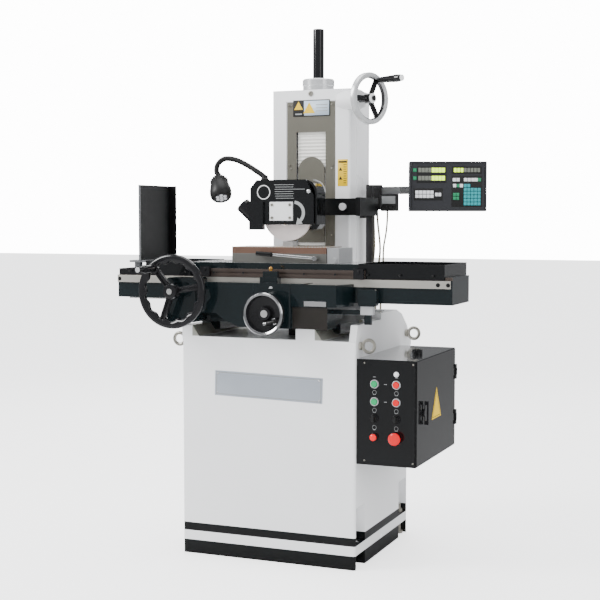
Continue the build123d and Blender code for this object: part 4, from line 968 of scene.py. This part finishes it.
# %% Plates and labels
TILT = math.radians(-1.4)
NAME_PLATE = face_frame((5, -280.2, 590), (math.cos(TILT), 0, math.sin(TILT)))
bm = bmesh.new()
slab(bm, NAME_PLATE, (-195, -42, 0), (195, 42, 1.2), 0.4)
piece(bm, "name_plate", "root", plate_metal)
bm = bmesh.new()
for low, high in (((-190, -37.5, 1.1), (190, -35.5, 1.35)), ((-190, 35.5, 1.1), (190, 37.5, 1.35)),
                  ((-190, -37.5, 1.1), (-188, 37.5, 1.35)), ((188, -37.5, 1.1), (190, 37.5, 1.35))):
    slab(bm, NAME_PLATE, low, high, 0)
piece(bm, "name_plate_border", "root", grey_mark)
repeat(lambda bm, here: turned(bm, here, [(0, 0), (3.2, 0), (2.8, 1.2), (1.4, 1.9), (0, 2.1)], 20),
       "name_plate_rivets", [(x, y, 1.1) for x in (-184, 184) for y in (-32, 32)], "root", bright_steel,
       here=NAME_PLATE)
SIGN = face_frame((0, 114.8, 0))
bm = bmesh.new()
slab(bm, SIGN, (-68, 1513, 0.05), (73, 1571, 0.8), 0.3)
piece(bm, "notice_back", "root", black_matt)
bm = bmesh.new()
slab(bm, SIGN, (-26, 1516, 0.75), (70, 1568, 1.0), 0.1)
piece(bm, "notice_field", "root", pale_label)
bm = bmesh.new()
for centre, z, size in ((-47, 1537, 17), (-6, 1524, 22)):
    prism(bm, SIGN, [(centre - size, z), (centre + size, z), (centre, z + size * 1.75)], 0.95, 1.25)
piece(bm, "notice_triangles", "root", yellow_label)
bm = bmesh.new()
for z in (1552, 1541, 1530):
    slab(bm, SIGN, (20, z, 0.95), (64, z + 2.2, 1.15), 0)
slab(bm, SIGN, (-60, 1519, 0.75), (-34, 1524, 0.9), 0)
piece(bm, "notice_bars", "root", grey_mark)
bm = bmesh.new()
slab(bm, SIGN, (103, 1263, -0.15), (141, 1358, 0.35), 0.1)
piece(bm, "column_label", "root", yellow_label)
bm = bmesh.new()
for z in (1318, 1286):
    prism(bm, SIGN, [(107, z), (121, z), (114, z + 12)], 0.3, 0.5)
slab(bm, SIGN, (106, 1346, 0.3), (138, 1352, 0.5), 0)
for n in range(9):
    slab(bm, SIGN, (125, 1338 - 8 * n, 0.3), (137 - (n % 3), 1340 - 8 * n, 0.5), 0)
piece(bm, "column_label_bars", "root", black_matt)
print("labels placed")

# %% [markdown]
# ## Cabinet controls
# Each control sits in a bezel, and one small outline repeated at a list of places makes them all.
# The door's notice is a plain yellow triangle, and it rides the door.

# %% Cabinet controls
PANEL = face_frame((0, -271, 0))


def bezel(bm, here):
    turned(bm, here, [(11.25, -0.1), (14.5, -0.1), (14.5, 2.6), (13.4, 4.4), (11.25, 4.4), (11.25, -0.1)], 48)


repeat(bezel, "silver_bezels", [(x, z, 0) for x in (376, 450) for z in (617, 560)], "root", bright_steel,
       here=PANEL)
repeat(bezel, "black_bezels", [(376, 505, 0), (450, 505, 0), (450, 445, 0), (376, 445, 0)], "root", black_gloss,
       here=PANEL)
turned_piece("red_lamp_cap", PANEL @ Matrix.Translation((376, 445, 11.9)),
             [(0, 0), (11.3, 0), (11.3, 3), (9, 6.4), (5, 8.2), (0, 8.8)], "root", red_lens)
bm = bmesh.new()
turned(bm, PANEL @ Matrix.Translation((450, 651, 0)), [(6.1, -0.1), (8.6, -0.1), (8.6, 2), (7.8, 3), (6.1, 3),
                                                       (6.1, -0.1)])
turned(bm, PANEL @ Matrix.Translation((450, 651, 3.9)), [(0, 0), (6.1, 0), (5.8, 1.6), (3.5, 2.8), (0, 3.2)])
piece(bm, "white_lamp_cap", "root", white_lens)
BUTTONS = {"wheel_start_button": (376, 617, green_cap), "pump_start_button": (376, 560, green_cap),
           "wheel_stop_button": (450, 617, red_cap), "pump_stop_button": (450, 560, red_cap)}
for name, (x, z, material) in BUTTONS.items():
    turned_piece(name + "_cap", PANEL @ Matrix.Translation((x, z, 6.9)),
                 [(0, 0), (10.3, 0), (10.3, 0.9), (9.4, 1.7), (8.2, 1.3), (0, 1.0)], name, material)
repeat(lambda bm, here: turned(bm, here, [(6.1, 0), (7, 0), (7, 0.3), (6.1, 0.3), (6.1, 0)], 32), "panel_rings",
       [(450, z, 0.02) for z in (590, 532, 476)] + [(376, z, 0.02) for z in (590, 532, 476)], "root", grey_mark,
       here=PANEL)
repeat(lambda bm, here: slab(bm, here, (-5, -0.8, 0), (5, 0.8, 0.3), 0), "panel_bars",
       [(x, z, 0.02) for x in (376, 450) for z in (640, 583, 525, 468)] + [(413, z, 0.02) for z in (617, 560)],
       "root", grey_mark, here=PANEL)
repeat(lambda bm, here: turned(bm, here, [(0, 0), (3, 0), (2.6, 1.2), (1.2, 1.8), (0, 1.9)], 20), "panel_screws",
       [(x, z, 0) for x in (342, 506) for z in (366, 684)], "root", plated_steel, here=PANEL)
DOOR = face_frame((517.6, 0, 0), (0, 1, 0), (1, 0, 0))
bm = bmesh.new()
prism(bm, DOOR, [(-99, 483), (11, 483), (-44, 586)], 0.02, 0.5)
piece(bm, "door_triangle", "cabinet_door", yellow_label)
bm = bmesh.new()
for a, b in (((-90, 488), (2, 488)), ((2, 488), (-44, 574)), ((-44, 574), (-90, 488))):
    way = Vector((b[0] - a[0], b[1] - a[1])).normalized()
    off = Vector((-way.y, way.x)) * 1.6
    prism(bm, DOOR, [(a[0], a[1]), (b[0], b[1]), (b[0] + off.x, b[1] + off.y),
                     (a[0] + off.x, a[1] + off.y)], 0.45, 0.7)
piece(bm, "door_triangle_border", "cabinet_door", black_matt)
print("cabinet dressed")

# %% [markdown]
# ## Read-out
# The housing's face holds two rows of digit cells, keys of four colours and a small keypad. One
# rounded key, repeated over each list of centres, makes each group, so a group's finish and its
# layout are one line. The digits are plain cells, half of them lit.

# %% Read-out
SWING = math.radians(22)
READ_OUT = (face_frame((445, 315, 1262.5)) @ Matrix.Rotation(SWING, 4, (0, 1, 0)) @ Matrix.Translation((0, 0, 60)))


def keys(name, centres, width, height, material, rise=1.6):
    def key(bm, here):
        slab(bm, here, (-width / 2, -height / 2, -0.3), (width / 2, height / 2, rise), 0.7)

    return repeat(key, name, [(x, y, 0) for x, y in centres], "dro_display", material, here=READ_OUT)


def row(start, end, count):
    return [start + (end - start) * (n + 0.5) / count for n in range(count)]


def grid(xs, ys):
    return [(x, y) for y in ys for x in xs]


DIGIT_ROWS, cells = (57.5, 29.0), row(-107, -11, 8)
keys("dim_digits", grid(cells[:4], DIGIT_ROWS), 11.2, 16.5, dim_segment, 0.4)
keys("lit_digits", grid(cells[4:], DIGIT_ROWS), 11.2, 16.5, lit_segment, 0.4)
keys("function_keys", grid([-118.5], DIGIT_ROWS), 12, 12, green_key)
small = row(19, 114, 8)
keys("lit_tabs", [(x, 57.5) for x in small[:3]], 10, 15, lit_segment, 0.4)
keys("dim_tabs", [(x, 57.5) for x in small[3:]], 10, 15, dim_segment, 0.4)
keys("white_keys_top", [(x, 23.5) for x in (22, 35, 61.5, 74.5, 87.5, 99)], 11.5, 12, white_key)
keys("green_key_top", [(110.5, 23.5)], 12, 12, green_key)
keys("white_keys_middle", [(23, 2.5), (47, 2.5)], 11.5, 12, white_key)
keys("green_key_middle", [(35.5, 2.5)], 10, 12, green_key)
keys("teal_keys_middle", [(61, 2.5), (73, 2.5)], 10.5, 12, teal_key)
keys("keypad", grid(row(55, 116, 5), row(-68, -5, 5)), 10.8, 11, teal_key)
keys("left_pad", grid(row(-117, -51, 5), row(-42, -14, 2)), 11.6, 12, white_key)
keys("step_keys", grid(row(-47, -24, 2), [-29]), 10, 12, white_key)
keys("set_keys", grid(row(17, 40, 2), row(-49, -22, 2)), 10, 11.5, green_key)
bm = bmesh.new()
for x in (-112, 12):
    wide = 106 if x < 0 else 108
    slab(bm, READ_OUT, (x, 12 if x < 0 else 44, -0.3), (x + wide, 71, 0.25), 0.1)
slab(bm, READ_OUT, (-122, -50, -0.3), (-19, -7, 0.2), 0.1)
slab(bm, READ_OUT, (12, -73, -0.3), (121, 38, 0.2), 0.1)
piece(bm, "read_out_fields", "dro_display", black_matt)
bm = bmesh.new()
for x in (-131, 129.4):
    slab(bm, READ_OUT, (x, -82.5, 0.9), (x + 1.6, 82.5, 2.1), 0.2)
piece(bm, "read_out_trim", "dro_display", black_gloss)
ARM = face_frame((0, 312, 0))
# The arm's grille holes are black discs laid on its face: painted shade in place of open holes.
repeat(lambda bm, here: turned(bm, here, [(0, 0), (1.9, 0), (1.9, 0.35), (0, 0.35)], 12), "arm_holes",
       [(x + (3 if int((z - 1241) / 5.2) % 2 else 0), z, 0) for z in [1241 + 5.2 * n for n in range(5)]
        for x in [275 + 6 * m for m in range(12)]], "root", black_matt, here=ARM)
METER = face_frame((238, 282, 1206))
bm = bmesh.new()
slab(bm, METER, (-26, -4, -0.4), (26, 24, 0.8), 0.6)
slab(bm, METER, (-22, 2, 0.6), (22, 19, 1.2), 0.2)
piece(bm, "meter_window", "root", grey_mark)
repeat(lambda bm, here: turned(bm, here, [(0, 0), (3, 0), (2.7, 1.4), (0, 1.8)], 20), "meter_keys",
       [(x, -16, 0) for x in (-16, 0, 16)], "root", black_gloss, here=METER)

# %% [markdown]
# ## Fasteners and small trim
# Socket screws are one cup-shaped outline, repeated over each cover's own list of places.

# %% Fasteners and trim
bm = bmesh.new()
socket_screw(bm, face_frame((0, 115, 1593)), 9.5, 3)
piece(bm, "column_top_screw", "root", plated_steel)
repeat(lambda bm, here: socket_screw(bm, here, 3.2, 1.2), "front_cover_screws",
       [(x, z, 0) for x in (-76, 80) for z in (1090, 1328, 1553)], "root", plated_steel,
       here=face_frame((0, 114.9, 0)))
RAIL = face_frame((0, -246, 966))
repeat(lambda bm, here: socket_screw(bm, here, 3.6, 0.8), "rail_screws",
       [(x, 0, 0) for x in range(-540, 561, 110)], "table", black_matt, here=RAIL)
print("fasteners placed")

# The dressed machine must stay inside it.

# %% Update the view layer
bpy.context.view_layer.update()
